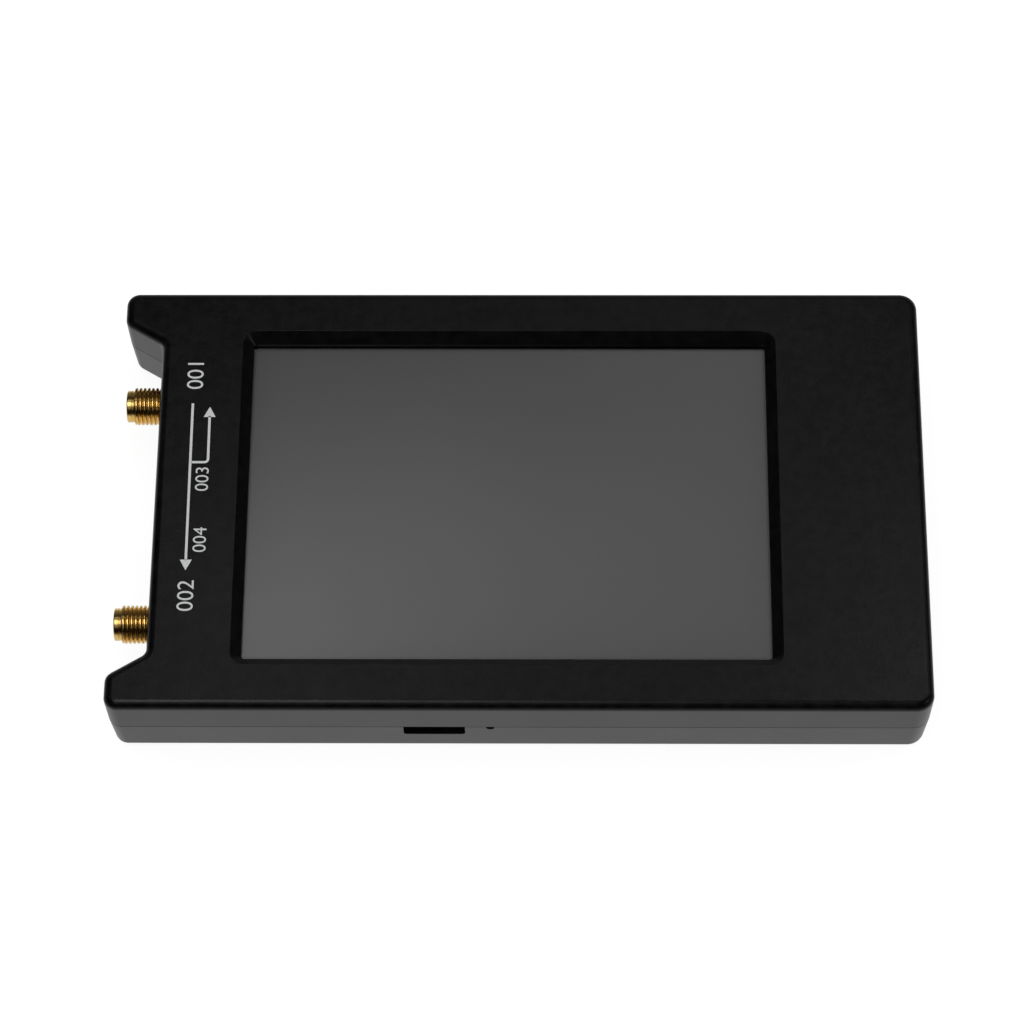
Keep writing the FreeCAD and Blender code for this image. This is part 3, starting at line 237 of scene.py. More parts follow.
def touch_film():
    """Resistive touch film over a switched-off liquid crystal panel: satin grey, and brighter in reflection
    than one film is, because its several layers add up. Just inside the edge of the panel's lit area the
    grey turns darker in a thin band, and outside it the mask is black.

    The distance past the edge of the lit area is max(|x - middle| - half length, |y - middle| - half width).
    """
    material, tree, shader, place = finish("touch_film", "#39393A", 0.22, {"IOR": 2.3})
    split = add(tree, "ShaderNodeSeparateXYZ", {"Vector": place})
    past = []
    for axis, middle, half in zip("XY", SCREEN_MIDDLE, LIT_HALF):
        shift = add(tree, "ShaderNodeMath", {0: split.outputs[axis], 1: middle * MM}, operation="SUBTRACT")
        size = add(tree, "ShaderNodeMath", {0: shift.outputs[0]}, operation="ABSOLUTE")
        past.append(add(tree, "ShaderNodeMath", {0: size.outputs[0], 1: half * MM}, operation="SUBTRACT"))
    outer = add(tree, "ShaderNodeMath", {0: past[0].outputs[0], 1: past[1].outputs[0]}, operation="MAXIMUM")
    share = add(tree, "ShaderNodeMapRange", {"Value": outer.outputs[0], "From Min": -1.0 * MM,
                                            "From Max": 1.0 * MM})
    ramp = add(tree, "ShaderNodeValToRGB", {"Fac": share.outputs["Result"]},
               stops=[(0.30, "#39393A"), (0.34, "#2E2E2F"), (0.40, "#2E2E2F"), (0.44, "#373738"),
                      (0.49, "#373738"), (0.505, "#040404")])
    tree.links.new(ramp.outputs["Color"], shader.inputs["Base Color"])
    uneven(tree, shader, place, 9.0, 0.215, 0.225)
    return material


def gold_plated_brass():
    """Brass turned on an automatic lathe and gold-plated: bright yellow, with very fine rings round X."""
    material, tree, shader, place = finish("gold_plated_brass", "#F3CD7C", 0.22, {"Metallic": 1.0})
    along = add(tree, "ShaderNodeMapping", {"Vector": place, "Scale": (1.0, 0.0, 0.0)})
    rings = add(tree, "ShaderNodeTexNoise", {"Vector": along.outputs["Vector"], "Scale": per_metre(0.15)})
    relief = add(tree, "ShaderNodeBump", {"Height": rings.outputs["Fac"], "Distance": 0.0005 * MM})
    tree.links.new(relief.outputs["Normal"], shader.inputs["Normal"])
    uneven(tree, shader, place, 3.0, 0.19, 0.25)
    return material


def turned_ptfe():
    """PTFE insulator: waxy white, lets light a little way in, faint lathe rings."""
    material, tree, shader, place = finish("turned_ptfe", "#DEDCD6", 0.45,
                                           {"Subsurface Weight": 0.2, "Subsurface Scale": 0.4 * MM})
    mottle(tree, shader, place, 1.2, ("#D6D4CD", "#E2E1DC"))
    return material


def sheet_steel():
    """Tinned sheet steel, stamped and folded: bright, soft rolling lines, slightly cloudy tin."""
    material, tree, shader, place = finish("sheet_steel", "#BDBCB8", 0.32, {"Metallic": 1.0})
    rolled = add(tree, "ShaderNodeMapping", {"Vector": place, "Scale": (0.05, 1.0, 1.0)})
    lines = add(tree, "ShaderNodeTexNoise", {"Vector": rolled.outputs["Vector"], "Scale": per_metre(0.12)})
    relief = add(tree, "ShaderNodeBump", {"Height": lines.outputs["Fac"], "Distance": 0.003 * MM})
    tree.links.new(relief.outputs["Normal"], shader.inputs["Normal"])
    uneven(tree, shader, place, 3.0, 0.25, 0.4)
    return material


def solder_mask():
    """Glass-fibre board under green solder mask: glossy resin, weave just showing, tracks as paler lines."""
    material, tree, shader, place = finish("solder_mask", "#0E4527", 0.28, {"Coat Weight": 0.4})
    tracks = add(tree, "ShaderNodeTexVoronoi", {"Vector": place, "Scale": per_metre(2.2)},
                 feature="DISTANCE_TO_EDGE")
    ramp = add(tree, "ShaderNodeValToRGB", {"Fac": tracks.outputs["Distance"]},
               stops=[(0.05, "#1C6B3E"), (0.09, "#0E4527")])
    tree.links.new(ramp.outputs["Color"], shader.inputs["Base Color"])
    weave = add(tree, "ShaderNodeTexWave", {"Vector": place, "Scale": per_metre(1.2)}, bands_direction="X")
    relief = add(tree, "ShaderNodeBump", {"Height": weave.outputs["Fac"], "Distance": 0.004 * MM})
    tree.links.new(relief.outputs["Normal"], shader.inputs["Normal"])
    return material


def plain(name, code, other, roughness, grain, depth, inputs=()):
    """Moulded or pressed part of one colour that wanders a little to another, with grain in relief."""
    material, tree, shader, place = finish(name, code, roughness, inputs)
    mottle(tree, shader, place, grain, (code, other))
    noise = add(tree, "ShaderNodeTexNoise", {"Vector": place, "Scale": per_metre(grain), "Detail": 4.0})
    relief = add(tree, "ShaderNodeBump", {"Height": noise.outputs["Fac"], "Distance": depth * MM})
    tree.links.new(relief.outputs["Normal"], shader.inputs["Normal"])
    return material


def polyimide_cable():
    """Flat cable: amber polyimide film, satin, over copper tracks at 0.5 mm."""
    material, tree, shader, place = finish("polyimide_cable", "#8A4B12", 0.3, {"IOR": 1.7})
    across = add(tree, "ShaderNodeSeparateXYZ", {"Vector": place}).outputs["Y"]
    turns = add(tree, "ShaderNodeMath", {0: across, 1: 2 * math.pi / (0.5 * MM)}, operation="MULTIPLY")
    wave = add(tree, "ShaderNodeMath", {0: turns.outputs[0]}, operation="SINE")
    ramp = add(tree, "ShaderNodeValToRGB", {"Fac": wave.outputs[0]},
               stops=[(0.2, "#7A3F10"), (0.5, "#B87333")])
    tree.links.new(ramp.outputs["Color"], shader.inputs["Base Color"])
    relief = add(tree, "ShaderNodeBump", {"Height": wave.outputs[0], "Distance": 0.01 * MM})
    tree.links.new(relief.outputs["Normal"], shader.inputs["Normal"])
    return material


def pvc_leads():
    """PVC insulation, satin: the lead nearer the middle is black and the other is red."""
    material, tree, shader, place = finish("pvc_leads", "#8E1515", 0.42)
    across = add(tree, "ShaderNodeSeparateXYZ", {"Vector": place}).outputs["Y"]
    side = add(tree, "ShaderNodeMath", {0: across, 1: 13.0 * MM}, operation="GREATER_THAN")
    ramp = add(tree, "ShaderNodeValToRGB", {"Fac": side.outputs[0]},
               stops=[(0.0, "#141414"), (1.0, "#A01818")])
    tree.links.new(ramp.outputs["Color"], shader.inputs["Base Color"])
    return material


def laminated_foil():
    """Pouch of aluminium foil laminated with nylon: dull silver with soft creases."""
    material, tree, shader, place = finish("laminated_foil", "#A9A9A6", 0.38, {"Metallic": 0.9})
    creases = add(tree, "ShaderNodeTexNoise", {"Vector": place, "Scale": per_metre(5.0), "Distortion": 1.5})
    relief = add(tree, "ShaderNodeBump", {"Height": creases.outputs["Fac"], "Distance": 0.25 * MM})
    tree.links.new(relief.outputs["Normal"], shader.inputs["Normal"])
    return material


ABS = moulded_black_abs()
INK = printed_ink()
FILM = touch_film()
GOLD = gold_plated_brass()
PTFE = turned_ptfe()
STEEL = sheet_steel()
MASK = solder_mask()
FLEX = polyimide_cable()
PVC = pvc_leads()
FOIL = laminated_foil()
# Smooth dark glass of the display under its film
GLASS = plain("display_glass", "#3A3A3C", "#404042", 0.12, 6.0, 0.001)
# Closed-cell foam: dead matt, pitted
FOAM = plain("closed_cell_foam", "#1B1B1B", "#262626", 0.9, 0.3, 0.05)
# Moulded epoxy of the chips: dark grey, sanded look
EPOXY = plain("moulded_epoxy", "#1E1E20", "#29292B", 0.62, 0.12, 0.01)
# Fired ceramic of the small capacitors: tan, matt
CERAMIC = plain("fired_ceramic", "#9A8260", "#B09873", 0.55, 0.4, 0.005)
# Sintered ferrite: charcoal, rough
FERRITE = plain("sintered_ferrite", "#3A3A3C", "#48484A", 0.8, 0.2, 0.03)
# Natural nylon of plugs and sockets: ivory, slightly translucent
NYLON = plain("natural_nylon", "#D6CDB6", "#DED7C3", 0.42, 1.0, 0.003,
              {"Subsurface Weight": 0.1, "Subsurface Scale": 0.3 * MM})
# Glass-filled black nylon of the switches: satin with a little fibre texture
BLACK_NYLON = plain("glass_filled_nylon", "#161616", "#1F1F1F", 0.45, 0.25, 0.01)
# Bright spring steel of the snap dome
SPRING = plain("spring_steel", "#C8C4BA", "#B8B4AA", 0.25, 0.3, 0.002, {"Metallic": 1.0})
# Black zinc plate on the case screws
ZINC = plain("black_zinc", "#2C2C2E", "#38383A", 0.38, 0.3, 0.004, {"Metallic": 1.0})
# Clear epoxy over a white base: the charge light
LENS = plain("clear_epoxy", "#E9EDE6", "#DDE2DA", 0.15, 1.0, 0.001, {"Transmission Weight": 0.4})
# Double-sided tape: pale, matt
TAPE = plain("adhesive_tape", "#C9C8C2", "#BEBDB6", 0.6, 1.5, 0.01)

# Every CAD node's finish. The nodes that a finer piece stands for have it too
NODE_FINISHES = {
    ABS: ["front_shell", "rear_shell"],
    FILM: ["touch_panel"],
    GLASS: ["lcd_panel"],
    FOAM: ["window_gasket", "display_pads"],
    FLEX: ["lcd_flex", "touch_flex"],
    NYLON: ["lcd_socket", "touch_socket", "battery_plug", "battery_header"],
    MASK: ["main_board", "battery_guard"],
    STEEL: ["backlight_tray", "shield_frame", "shield_lid", "reference_oscillator", "usb_shell",
            "power_switch_frame", "jog_cover"],
    EPOXY: ["mixer_chips", "codec_chip", "clock_chip", "processor", "power_chip", "regulators"],
    FERRITE: ["power_inductor"],
    CERAMIC: ["small_parts"],
    GOLD: ["jack_0_body", "jack_1_body", "jack_0_contact", "jack_1_contact"],
    PTFE: ["jack_0_insulator", "jack_1_insulator"],
    BLACK_NYLON: ["usb_tongue", "power_switch_base", "power_slider", "jog_housing", "jog_carriage",
                  "jog_lever"],
    SPRING: ["jog_dome"],
    LENS: ["charge_light"],
    ZINC: ["case_screws"],
    FOIL: ["battery_cell"],
    TAPE: ["battery_tape"],
    PVC: ["battery_leads"],
}
for material, names in NODE_FINISHES.items():
    for name in names:
        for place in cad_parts[name].material_slots:
            place.material = material


# ---- case -------------------------------------------------------------------------------------------

skin_of("front_shell", ABS, 0.12, seam=(PARTING, 0.4))
skin_of("rear_shell", ABS, 0.12, seam=(PARTING, 0.2))


def ink_line(path, widths, low=FACE - 0.006, high=FACE + 0.016):
    """Strip of ink along a level path, square to it, between two heights.

    Left and right edges are path +- width / 2 * normal, the normal being the path's direction turned a
    quarter. The section is the loop of four corners, and both ends are closed. Two widths make a wedge.
    """
    path = np.asarray(path, float)
    along = np.gradient(path, axis=0)
    along /= np.linalg.norm(along, axis=1)[:, None]
    offset = np.stack([-along[:, 1], along[:, 0]], axis=1) * np.broadcast_to(widths, len(path))[:, None] / 2
    left, right = path + offset, path - offset
    corners = [np.column_stack([side, np.full(len(path), z)])
               for side, z in ((left, low), (right, low), (right, high), (left, high))]
    points = np.stack(corners, axis=1)
    faces = grid_faces(len(path), 4, False, True)
    last = 4 * (len(path) - 1)
    return points.reshape(-1, 3), faces + [[0, 1, 2, 3], [last, last + 3, last + 2, last + 1]]


def corner_path(start, turn, end, radius, count=9):
    """Line from start to end by way of turn, whose corner is the quadratic curve
    (1 - t)^2 a + 2 t (1 - t) turn + t^2 b between the points radius away from it."""
    start, turn, end = (np.array(p, float) for p in (start, turn, end))
    a = turn + (start - turn) / np.linalg.norm(start - turn) * radius
    b = turn + (end - turn) / np.linalg.norm(end - turn) * radius
    t = np.linspace(0, 1, count)[:, None]
    return np.vstack([start, (1 - t) ** 2 * a + 2 * t * (1 - t) * turn + t ** 2 * b, end])


def numeral(digits, height, middle):
    """Digits as a mesh, of that height in millimetres, centred on middle and reading towards +Y. They are
    set one unit high, a little lighter than the font, and then scaled."""
    letters = bpy.data.curves.new("numeral", "FONT")
    letters.body, letters.size, letters.extrude = digits, 1.0, 0.003
    letters.resolution_u = 6
    letters.offset = -0.004
    holder = bpy.data.objects.new("numeral", letters)
    bpy.context.scene.collection.objects.link(holder)
    bpy.context.view_layer.update()
    flat = bpy.data.meshes.new_from_object(holder.evaluated_get(bpy.context.evaluated_depsgraph_get()))
    points = np.zeros(len(flat.vertices) * 3)
    flat.vertices.foreach_get("co", points)
    points = points.reshape(-1, 3)
    faces = [list(polygon.vertices) for polygon in flat.polygons]
    bpy.data.objects.remove(holder)
    bpy.data.meshes.remove(flat)
    low, high = points.min(axis=0), points.max(axis=0)
    scale = height / (high[1] - low[1])
    across, up = ((points[:, i] - (low[i] + high[i]) / 2) * scale for i in (0, 1))
    return np.stack([middle[0] - up, middle[1] + across, FACE + 0.005 + points[:, 2] * scale], axis=1), faces


# Printing beside the jacks: an arrow from the first jack's number to the second's, a branch of it back to
# the first, and a plain number for each jack and each arrow
LINE = 0.42
ARROWHEAD = (2.0, 0.05)
printing = joined(
    ink_line([(-55.30, 17.1), (-55.15, -12.4)], LINE),
    ink_line([(-55.14, -12.3), (-55.13, -14.2)], ARROWHEAD),
    ink_line(corner_path((-52.36, 14.7), (-52.28, 5.9), (-55.1, 5.9), 0.7), LINE),
    ink_line([(-52.36, 14.5), (-52.37, 16.4)], ARROWHEAD),
    numeral("001", 2.75, (-55.1, 22.4)),
    numeral("002", 2.7, (-54.95, -18.9)),
    numeral("003", 2.2, (-53.15, 2.7)),
    numeral("004", 2.2, (-53.05, -8.6)),
)
piece("printing", *printing, INK, smooth=False)


# ---- screen -----------------------------------------------------------------------------------------


def rounded_slab(middle, half, heights, radius, soft, count=12):
    """Flat panel with rounded corners and eased edges.

    Its plan is a rounded rectangle: quarter arcs of the given radius about the four inner corners. The
    section goes up one face, round the rim, which is soft smaller at both faces, and over the other face.
    """
    a = np.radians(np.concatenate([np.linspace(q, q + 90, count) for q in (0, 90, 180, 270)]))
    signs = np.repeat([(1, 1), (-1, 1), (-1, -1), (1, -1)], count, axis=0)
    inner = signs * (np.array(half) - radius)
    low, high = heights
    rings = []
    for inset, z in ((soft, low), (0, low + soft), (0, high - soft), (soft, high)):
        rim = inner + np.stack([np.cos(a), np.sin(a)], axis=1) * (radius - inset) + np.array(middle)
        rings.append(np.column_stack([rim, np.full(len(a), z)]))
    around = len(a)
    faces = grid_faces(4, around, False, True)
    return np.vstack(rings), faces + [list(range(around))[::-1], list(range(3 * around, 4 * around))]


piece("touch_film", *rounded_slab(SCREEN_MIDDLE, (48.25, 31.3), (13.2, 14.3), 0.8, 0.1), FILM,
      slot="touch_glass", replaces=("touch_panel",))


# ---- small parts of the case ------------------------------------------------------------------------


SCREW_PLACES = [(x, y) for x in (-54.0, 60.0) for y in (33.0, -33.0)]
SCREW_BASE = 1.6    # height of the heads above the floor
AROUND = 96         # points round each ring


def case_screw(place):
    """Self-tapping screw with a domed head, head down, in ring after ring.

    Most rings are circles of radius r at height z. The recess is a cross: at angle a it reaches
    min(length / max(|cos a|, |sin a|), width / min(|cos a|, |sin a|)). The dome's rings lie at
    0.99 (1 - sqrt(1 - u^2)) for u from 0 to 1. The shank's thread cuts 0.3 t from its radius, where t is
    1.4 |2 frac(z / 1.1 + a / 2 pi) - 1| - 0.2, kept from 0 to 1, and fades out at both ends.
    """
    a = 2 * np.pi * (np.arange(AROUND) + 0.5) / AROUND
    both = np.abs(np.stack([np.cos(a), np.sin(a)]))

    def cross(length, width):
        return np.minimum(length / both.max(axis=0), width / both.min(axis=0))

    rings = [(0.95, 0.02), (0.95, cross(0.45, 0.16)), (0.04, cross(1.15, 0.3)), (0.0, cross(1.2, 0.34)),
             (0.0, 1.35)]
    rings += [(0.99 * (1 - math.sqrt(1 - u * u)), 1.35 + 0.85 * u) for u in (0.3, 0.6, 0.85, 0.97, 1.0)]
    rings += [(1.55, 2.2), (1.6, 2.15), (1.6, 1.25)]
    for z in np.linspace(1.7, 10.2, 86):
        tooth = np.abs(2 * np.mod((z / 1.1) + a / (2 * np.pi), 1.0) - 1)
        fade = min(1, (z - 1.7) / 0.5, (10.3 - z) / 0.8)
        rings.append((z, 1.25 - 0.3 * np.clip(1.4 * tooth - 0.2, 0, 1) * fade))
    rings.append((10.6, 0.02))
    points = np.stack([np.stack([place[0] + r * np.cos(a), place[1] - r * np.sin(a),
                                 SCREW_BASE + z + 0 * a], axis=1) for z, r in rings])
    faces = grid_faces(len(rings), AROUND, False, True)
    last = (len(rings) - 1) * AROUND
    return points.reshape(-1, 3), faces + [list(range(AROUND))[::-1], list(range(last, last + AROUND))]


piece("case_screw_set", *joined(*[case_screw(place) for place in SCREW_PLACES]), ZINC, slot="screw_steel",
      replaces=("case_screws",))

# Node, finish, rounding, body and slot of the small parts whose own shape is kept
SMALL_SKINS = [
    ("usb_shell", STEEL, 0.04, "root", "sheet_steel"),
    ("usb_tongue", BLACK_NYLON, 0.05, "root", "switch_nylon"),
    ("charge_light", LENS, 0.1, "root", "light_lens"),
    ("power_slider", BLACK_NYLON, 0.08, "power_slider", "switch_nylon"),
    ("jog_lever", BLACK_NYLON, 0.08, "jog_lever", "switch_nylon"),
    ("jack_0_insulator", PTFE, 0.03, "root", "ptfe"),
    ("jack_1_insulator", PTFE, 0.03, "root", "ptfe"),
    ("jack_0_contact", GOLD, 0.04, "root", "gold_plate"),
    ("jack_1_contact", GOLD, 0.04, "root", "gold_plate"),
]
for name, material, soft, body, slot in SMALL_SKINS:
    skin_of(name, material, soft, body)


# ---- jacks ------------------------------------------------------------------------------------------

def arc(cx, cr, radius, start, end, count=6):
    """Points (cx + radius cos a, cr + radius sin a) with a from start to end degrees."""
    a = np.radians(np.linspace(start, end, count))
    return list(zip(cx + radius * np.cos(a), cr + radius * np.sin(a)))


def screw_thread(x, r, a):
    """Radius with the thread cut into it, 0.6134 pitches deep.

    The phase p is frac(x / pitch + a / 2 pi), and t is (|2 p - 1| - 0.32) / 0.66, kept from 0 to 1. The cut
    is the depth times 3 t^2 - 2 t^3, so the crest is flat over a third of the pitch, and both ends fade out.
    """
    start, end = -7.0, -2.3
    phase = np.mod(x / PITCH + a / (2 * np.pi), 1.0)
    tooth = np.clip((np.abs(phase - 0.5) * 2 - 0.32) / 0.66, 0, 1)
    fade = np.clip(np.minimum(x - start, end - x) / (0.5 * PITCH), 0, 1)
    cut = 0.6134 * PITCH * tooth * tooth * (3 - 2 * tooth) * fade
    return np.where((r > 3.1) & (x > start) & (x < end), r - cut, r)


def jack_body():
    """Turned barrel with bore, nose, ring groove, thread, square flange and legs. Its profile is a loop of
    (x, r), x being measured from the flange's front."""
    thread = [(x, 3.175) for x in np.linspace(-6.98, -2.32, 148)]
    profile = [(1.5, 2.05), (-6.45, 2.05), (-6.45, 2.3), (-8.22, 2.3), (-8.3, 2.36)]
    profile += arc(-8.2, 2.55, 0.15, 180, 100, 5)
    profile += [(-8.18, 2.7), (-8.14, 2.7), (-7.56, 2.7), (-7.53, 2.7), (-7.5, 2.69), (-7.45, 2.63),
                (-7.3, 2.63), (-7.25, 2.69), (-7.02, 2.7), (-7.0, 2.75)]
    profile += [(-7.0, 3.0)] + thread + [(-2.3, 3.0), (0.3, 3.0), (1.5, 2.9)]
    barrel = ring_of_revolution(profile, 112, screw_thread)
    flange = square_ring(0.0, 1.55, 2.4, 6.35 / 2, 0.12)
    legs = [bar((1.5, 6.05), (side * 2.675, up), 1.0) for side in (1, -1) for up in (0.85, -1.15)]
    return joined(barrel, flange, *legs)


def square_ring(front, rear, inner, half, soft):
    """Square plate with a round hole, on the X axis.

    Round its loop the outside lies at half / max(|cos a|, |sin a|) from the axis and the hole at inner. The
    profile goes hole, front face, outer rim, rear face, with soft taken off the rim's edges.
    """
    a = 2 * np.pi * (np.arange(96) + 0.5) / 96
    rim = half / np.maximum(np.abs(np.cos(a)), np.abs(np.sin(a)))
    profile = [(front, inner + 0 * a), (front, rim - soft), (front + soft, rim), (rear - soft, rim),
               (rear, rim - soft), (rear, inner + 0 * a)]
    points = np.stack([np.stack([x + 0 * a, r * np.sin(a), r * np.cos(a)], axis=-1) for x, r in profile])
    return points.reshape(-1, 3), grid_faces(len(profile), 96, True, True)


def bar(ends, centre, side, soft=0.08):
    """Square bar along X with its long edges and ends eased.

    ends is (start, end), centre its (y, z) and side its width. Each section is the square of half width h,
    corner radius soft, scaled at the two end sections.
    """
    a = 2 * np.pi * np.arange(32) / 32
    power = 8.0
    r = side / 2 / (np.abs(np.cos(a)) ** power + np.abs(np.sin(a)) ** power) ** (1 / power)
    stations = [(ends[0], 0.0), (ends[0], 1 - 2 * soft / side), (ends[0] + soft, 1.0),
                (ends[1] - soft, 1.0), (ends[1], 1 - 2 * soft / side), (ends[1], 0.0)]
    x = np.array([s for s, _ in stations])[:, None] + 0 * a
    scale = np.array([max(k, 0.02) for _, k in stations])[:, None]
    points = np.stack([x, centre[0] + scale * r * np.sin(a), centre[1] + scale * r * np.cos(a)], axis=-1)
    faces = grid_faces(len(stations), 32, False, True)
    faces.append(list(range(32)))
    faces.append(list(range(len(stations) * 32 - 1, (len(stations) - 1) * 32 - 1, -1)))
    return points.reshape(-1, 3), faces


for number, row in enumerate(JACK_ROWS):
    points, faces = jack_body()
    piece(f"jack_{number}_turned", points + (FLANGE_FRONT, row, JACK_HEIGHT), faces, GOLD,
          slot="gold_plate", replaces=(f"jack_{number}_body",), sharp=38)


def strip_along_y(x, ends, z, width):
    """A bar of that width and 0.03 thick, turned a quarter about Z to run along Y: (x, y) becomes
    (-y, x)."""
    points, faces = bar(ends, (0.0, 0.0), 1.0, 0.02)
    points = points * (1.0, width, 0.03)
    return np.stack([x - points[:, 1], points[:, 0], z + points[:, 2]], axis=1), faces


# Twelve contacts, half a millimetre apart, on each side of the socket's tongue
USB_PLACE = -13.9
TONGUE_SIDES = (7.475, 6.765)
strips = [strip_along_y(USB_PLACE + (n - 5.5) * 0.5, (-35.2, -31.1), z, 0.27)
          for n in range(12) for z in TONGUE_SIDES]
piece("usb_contacts", *joined(*strips), GOLD, slot="gold_plate")


# ---- camera, floor and light ------------------------------------------------------------------------

lens = bpy.data.cameras.new("lens")
lens.sensor_width = 36.0
lens.lens = 133.487
lens.clip_start, lens.clip_end = 0.01, 20.0
camera = bpy.data.objects.new("camera", lens)
camera.location = (0.0073237, -0.2893730, 0.5794258)
camera.rotation_euler = tuple(math.radians(v) for v in (26.95522, 0.66550, 0.41383))
bpy.context.scene.collection.objects.link(camera)
bpy.context.scene.camera = camera
bpy.context.scene.view_settings.view_transform = "Standard"


def paper_floor():
    """White paper that keeps part of its own shading, so the shadow stays. The lens sees it near white.
    Reflections see instead a painted glow, a pool of painted light round the case: a little darker than
    white near it, and darker still further from the case, painted as on a lit table top. The distance from
    the case is max(|x| - half length, |y| - half width)."""
    material = bpy.data.materials.new("white_paper")
    material.use_nodes = True
    tree = material.node_tree
    tree.nodes.clear()
    path = add(tree, "ShaderNodeLightPath")
    split = add(tree, "ShaderNodeSeparateXYZ", {"Vector": add(tree, "ShaderNodeTexCoord").outputs["Object"]})
    past = []
    for axis, half in zip("XY", CASE_HALF):
        size = add(tree, "ShaderNodeMath", {0: split.outputs[axis]}, operation="ABSOLUTE")
        past.append(add(tree, "ShaderNodeMath", {0: size.outputs[0], 1: half * MM}, operation="SUBTRACT"))
    away = add(tree, "ShaderNodeMath", {0: past[0].outputs[0], 1: past[1].outputs[0]}, operation="MAXIMUM")
    # Painted light for reflections: the floor's glow in them falls from 0.72 near the case to 0.2 further out
    painted_glow_level = add(tree, "ShaderNodeMapRange", {"Value": away.outputs[0], "From Min": 10 * MM, "From Max": 45 * MM,
                                          "To Min": 0.72, "To Max": 0.2}, interpolation_type="SMOOTHSTEP")
    paper = add(tree, "ShaderNodeBsdfDiffuse", {"Color": linear("#EDEDED")})
    glow = add(tree, "ShaderNodeEmission", {"Color": linear("#FFFFFF"), "Strength": 1.04})
    seen = add(tree, "ShaderNodeMixShader", {"Fac": 0.85, 1: paper.outputs[0], 2: glow.outputs[0]})
    # Painted reflection: this emission, not the paper's shading, is what glossy rays see of the floor
    painted_floor_glow = add(tree, "ShaderNodeEmission", {"Color": linear("#FFFFFF"), "Strength": painted_glow_level.outputs["Result"]})
    shader = paper
    for ray, other in (("Is Glossy Ray", painted_floor_glow), ("Is Transmission Ray", seen), ("Is Camera Ray", seen)):
        shader = add(tree, "ShaderNodeMixShader", {"Fac": path.outputs[ray], 1: shader.outputs[0],
                                                  2: other.outputs[0]})
    add(tree, "ShaderNodeOutputMaterial", {"Surface": shader.outputs[0]})
    return material


# Floor of 6 by 6 metres, a tenth of a millimetre under the case
FLOOR_HALF = 3.0
corners = [(x * FLOOR_HALF, y * FLOOR_HALF, -0.1 * MM) for x, y in ((-1, -1), (1, -1), (1, 1), (-1, 1))]
floor_mesh = bpy.data.meshes.new("floor")
floor_mesh.from_pydata(corners, [], [(0, 1, 2, 3)])
floor_mesh.materials.append(paper_floor())
floor = bpy.data.objects.new("floor", floor_mesh)
bpy.context.scene.collection.objects.link(floor)

world = bpy.data.worlds.new("studio")
bpy.context.scene.world = world
world.use_nodes = True
sky = world.node_tree
sky.nodes.clear()
# Matt surfaces get the same light from everywhere, and the lens sees white. Reflections see a dark room
# with a dim wall straight behind the case, which fades upwards and to both sides
path = add(sky, "ShaderNodeLightPath")
towards = add(sky, "ShaderNodeSeparateXYZ", {"Vector": add(sky, "ShaderNodeTexCoord").outputs["Generated"]})
rear = add(sky, "ShaderNodeMapRange", {"Value": towards.outputs["Y"], "From Min": 0.1, "From Max": 0.5})
aside = add(sky, "ShaderNodeMath", {0: towards.outputs["X"]}, operation="ABSOLUTE")
straight = add(sky, "ShaderNodeMapRange", {"Value": aside.outputs[0], "From Min": 0.35, "From Max": 0.75,
                                          "To Min": 1.0, "To Max": 0.1})
low = add(sky, "ShaderNodeMapRange", {"Value": towards.outputs["Z"], "From Min": 0.75, "From Max": 0.15,
                                     "To Min": 0.01, "To Max": 0.2})
wall = add(sky, "ShaderNodeMath", {0: rear.outputs["Result"], 1: straight.outputs["Result"]},
           operation="MULTIPLY")
dim = add(sky, "ShaderNodeMath", {0: wall.outputs[0], 1: low.outputs["Result"], 2: 0.004},
          operation="MULTIPLY_ADD")
shader = add(sky, "ShaderNodeBackground", {"Color": linear("#FFFFFF"), "Strength": dim.outputs[0]})
for ray, strength in (("Is Diffuse Ray", 1.3), ("Is Transmission Ray", 1.0), ("Is Camera Ray", 1.0)):
    other = add(sky, "ShaderNodeBackground", {"Color": linear("#FFFFFF"), "Strength": strength})
    shader = add(sky, "ShaderNodeMixShader", {"Fac": path.outputs[ray], 1: shader.outputs[0],
                                             2: other.outputs[0]})
add(sky, "ShaderNodeOutputWorld", {"Surface": shader.outputs[0]})


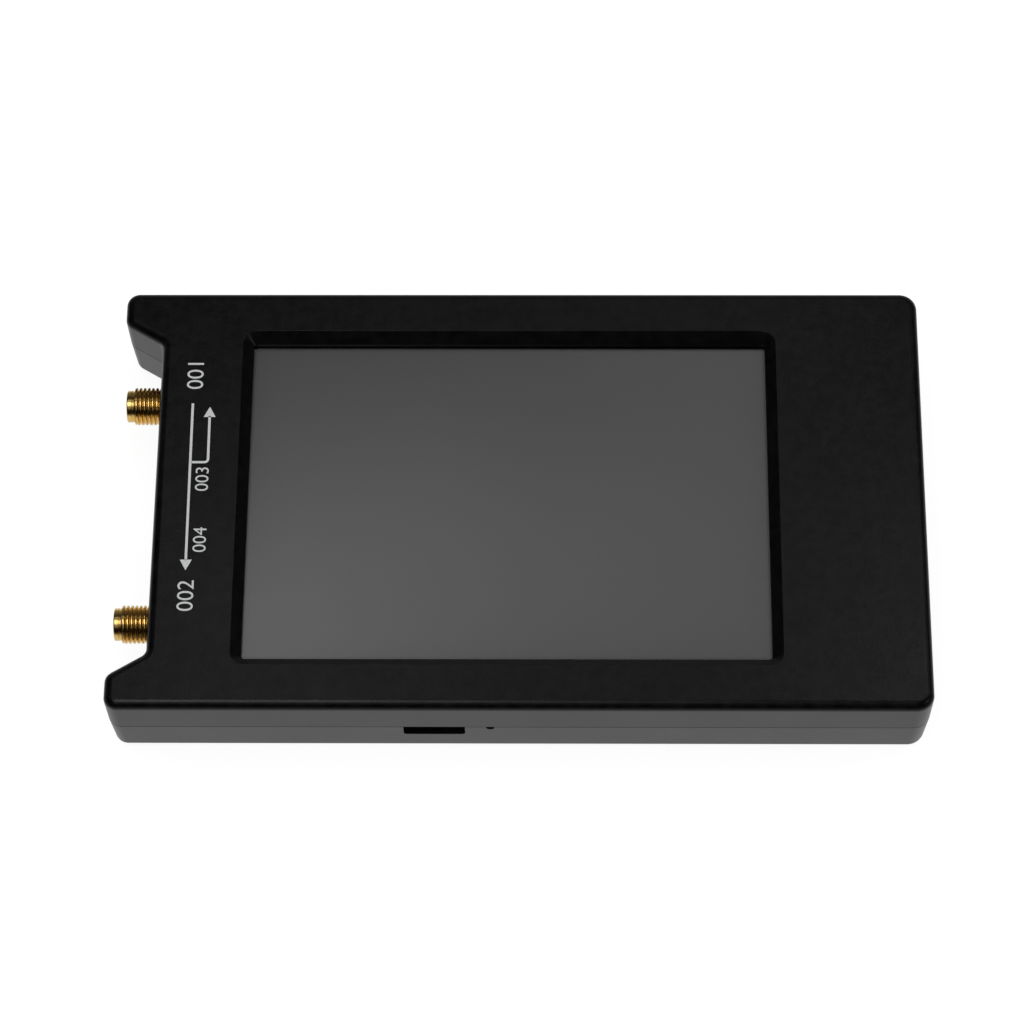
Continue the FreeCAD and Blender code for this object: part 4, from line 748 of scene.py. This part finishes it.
def softbox(name, place, aim, width, height, watts):
    """Rectangular lamp at place, in metres, that faces the point aim."""
    lamp = bpy.data.lights.new(name, "AREA")
    lamp.shape = "RECTANGLE"
    lamp.size, lamp.size_y, lamp.energy = width, height, watts
    item = bpy.data.objects.new(name, lamp)
    item.visible_camera = False
    item.location = place
    item.rotation_euler = (Vector(aim) - Vector(place)).to_track_quat("-Z", "Y").to_euler()
    bpy.context.scene.collection.objects.link(item)


# A long strip high over the jacks and its weak end, one lamp from the right, a low one for the window's
# corner, two for the rounded edge of the right end and a loose row of weak ones behind. Each is (name, place,
# the point that it faces, width, length, watts), in metres
SMALL = (0.08, 0.08)
LAMPS = [
    ("strip", (-0.175, -0.16, 0.99), (-0.175, -0.16, 0.0), 0.16, 0.5, 0.74),
    ("skirt", (-0.175, -0.76, 0.99), (-0.175, -0.76, 0.0), 0.14, 0.65, 0.14),
    ("right", (0.15, 0.15, 0.453), (0.0, 0.0, 0.0), *SMALL, 0.0315),
    ("corner", (0.366, -0.175, 0.218), (-0.044, 0.03, 0.016), *SMALL, 0.03),
    ("edge_a", (0.3, 0.17, 0.42), (0.066, 0.0, 0.016), *SMALL, 0.034),
    ("edge_b", (0.4, 0.12, 0.26), (0.066, 0.0, 0.016), *SMALL, 0.016),
    ("rear_a", (-0.1, 0.15, 0.466), (0.0, 0.0, 0.0), *SMALL, 0.0143),
    ("rear_b", (-0.1, 0.2, 0.447), (0.0, 0.0, 0.0), *SMALL, 0.0028),
    ("rear_c", (-0.05, 0.2, 0.456), (0.0, 0.0, 0.0), *SMALL, 0.0076),
    ("rear_d", (0.0, 0.2, 0.458), (0.0, 0.0, 0.0), *SMALL, 0.0042),
    ("rear_e", (0.05, 0.2, 0.456), (0.0, 0.0, 0.0), *SMALL, 0.0045),
    ("rear_f", (0.05, 0.3, 0.397), (0.0, 0.0, 0.0), *SMALL, 0.0062),
    ("rear_g", (0.1, 0.25, 0.421), (0.0, 0.0, 0.0), *SMALL, 0.0022),
]
for lamp in LAMPS:
    softbox(*lamp)
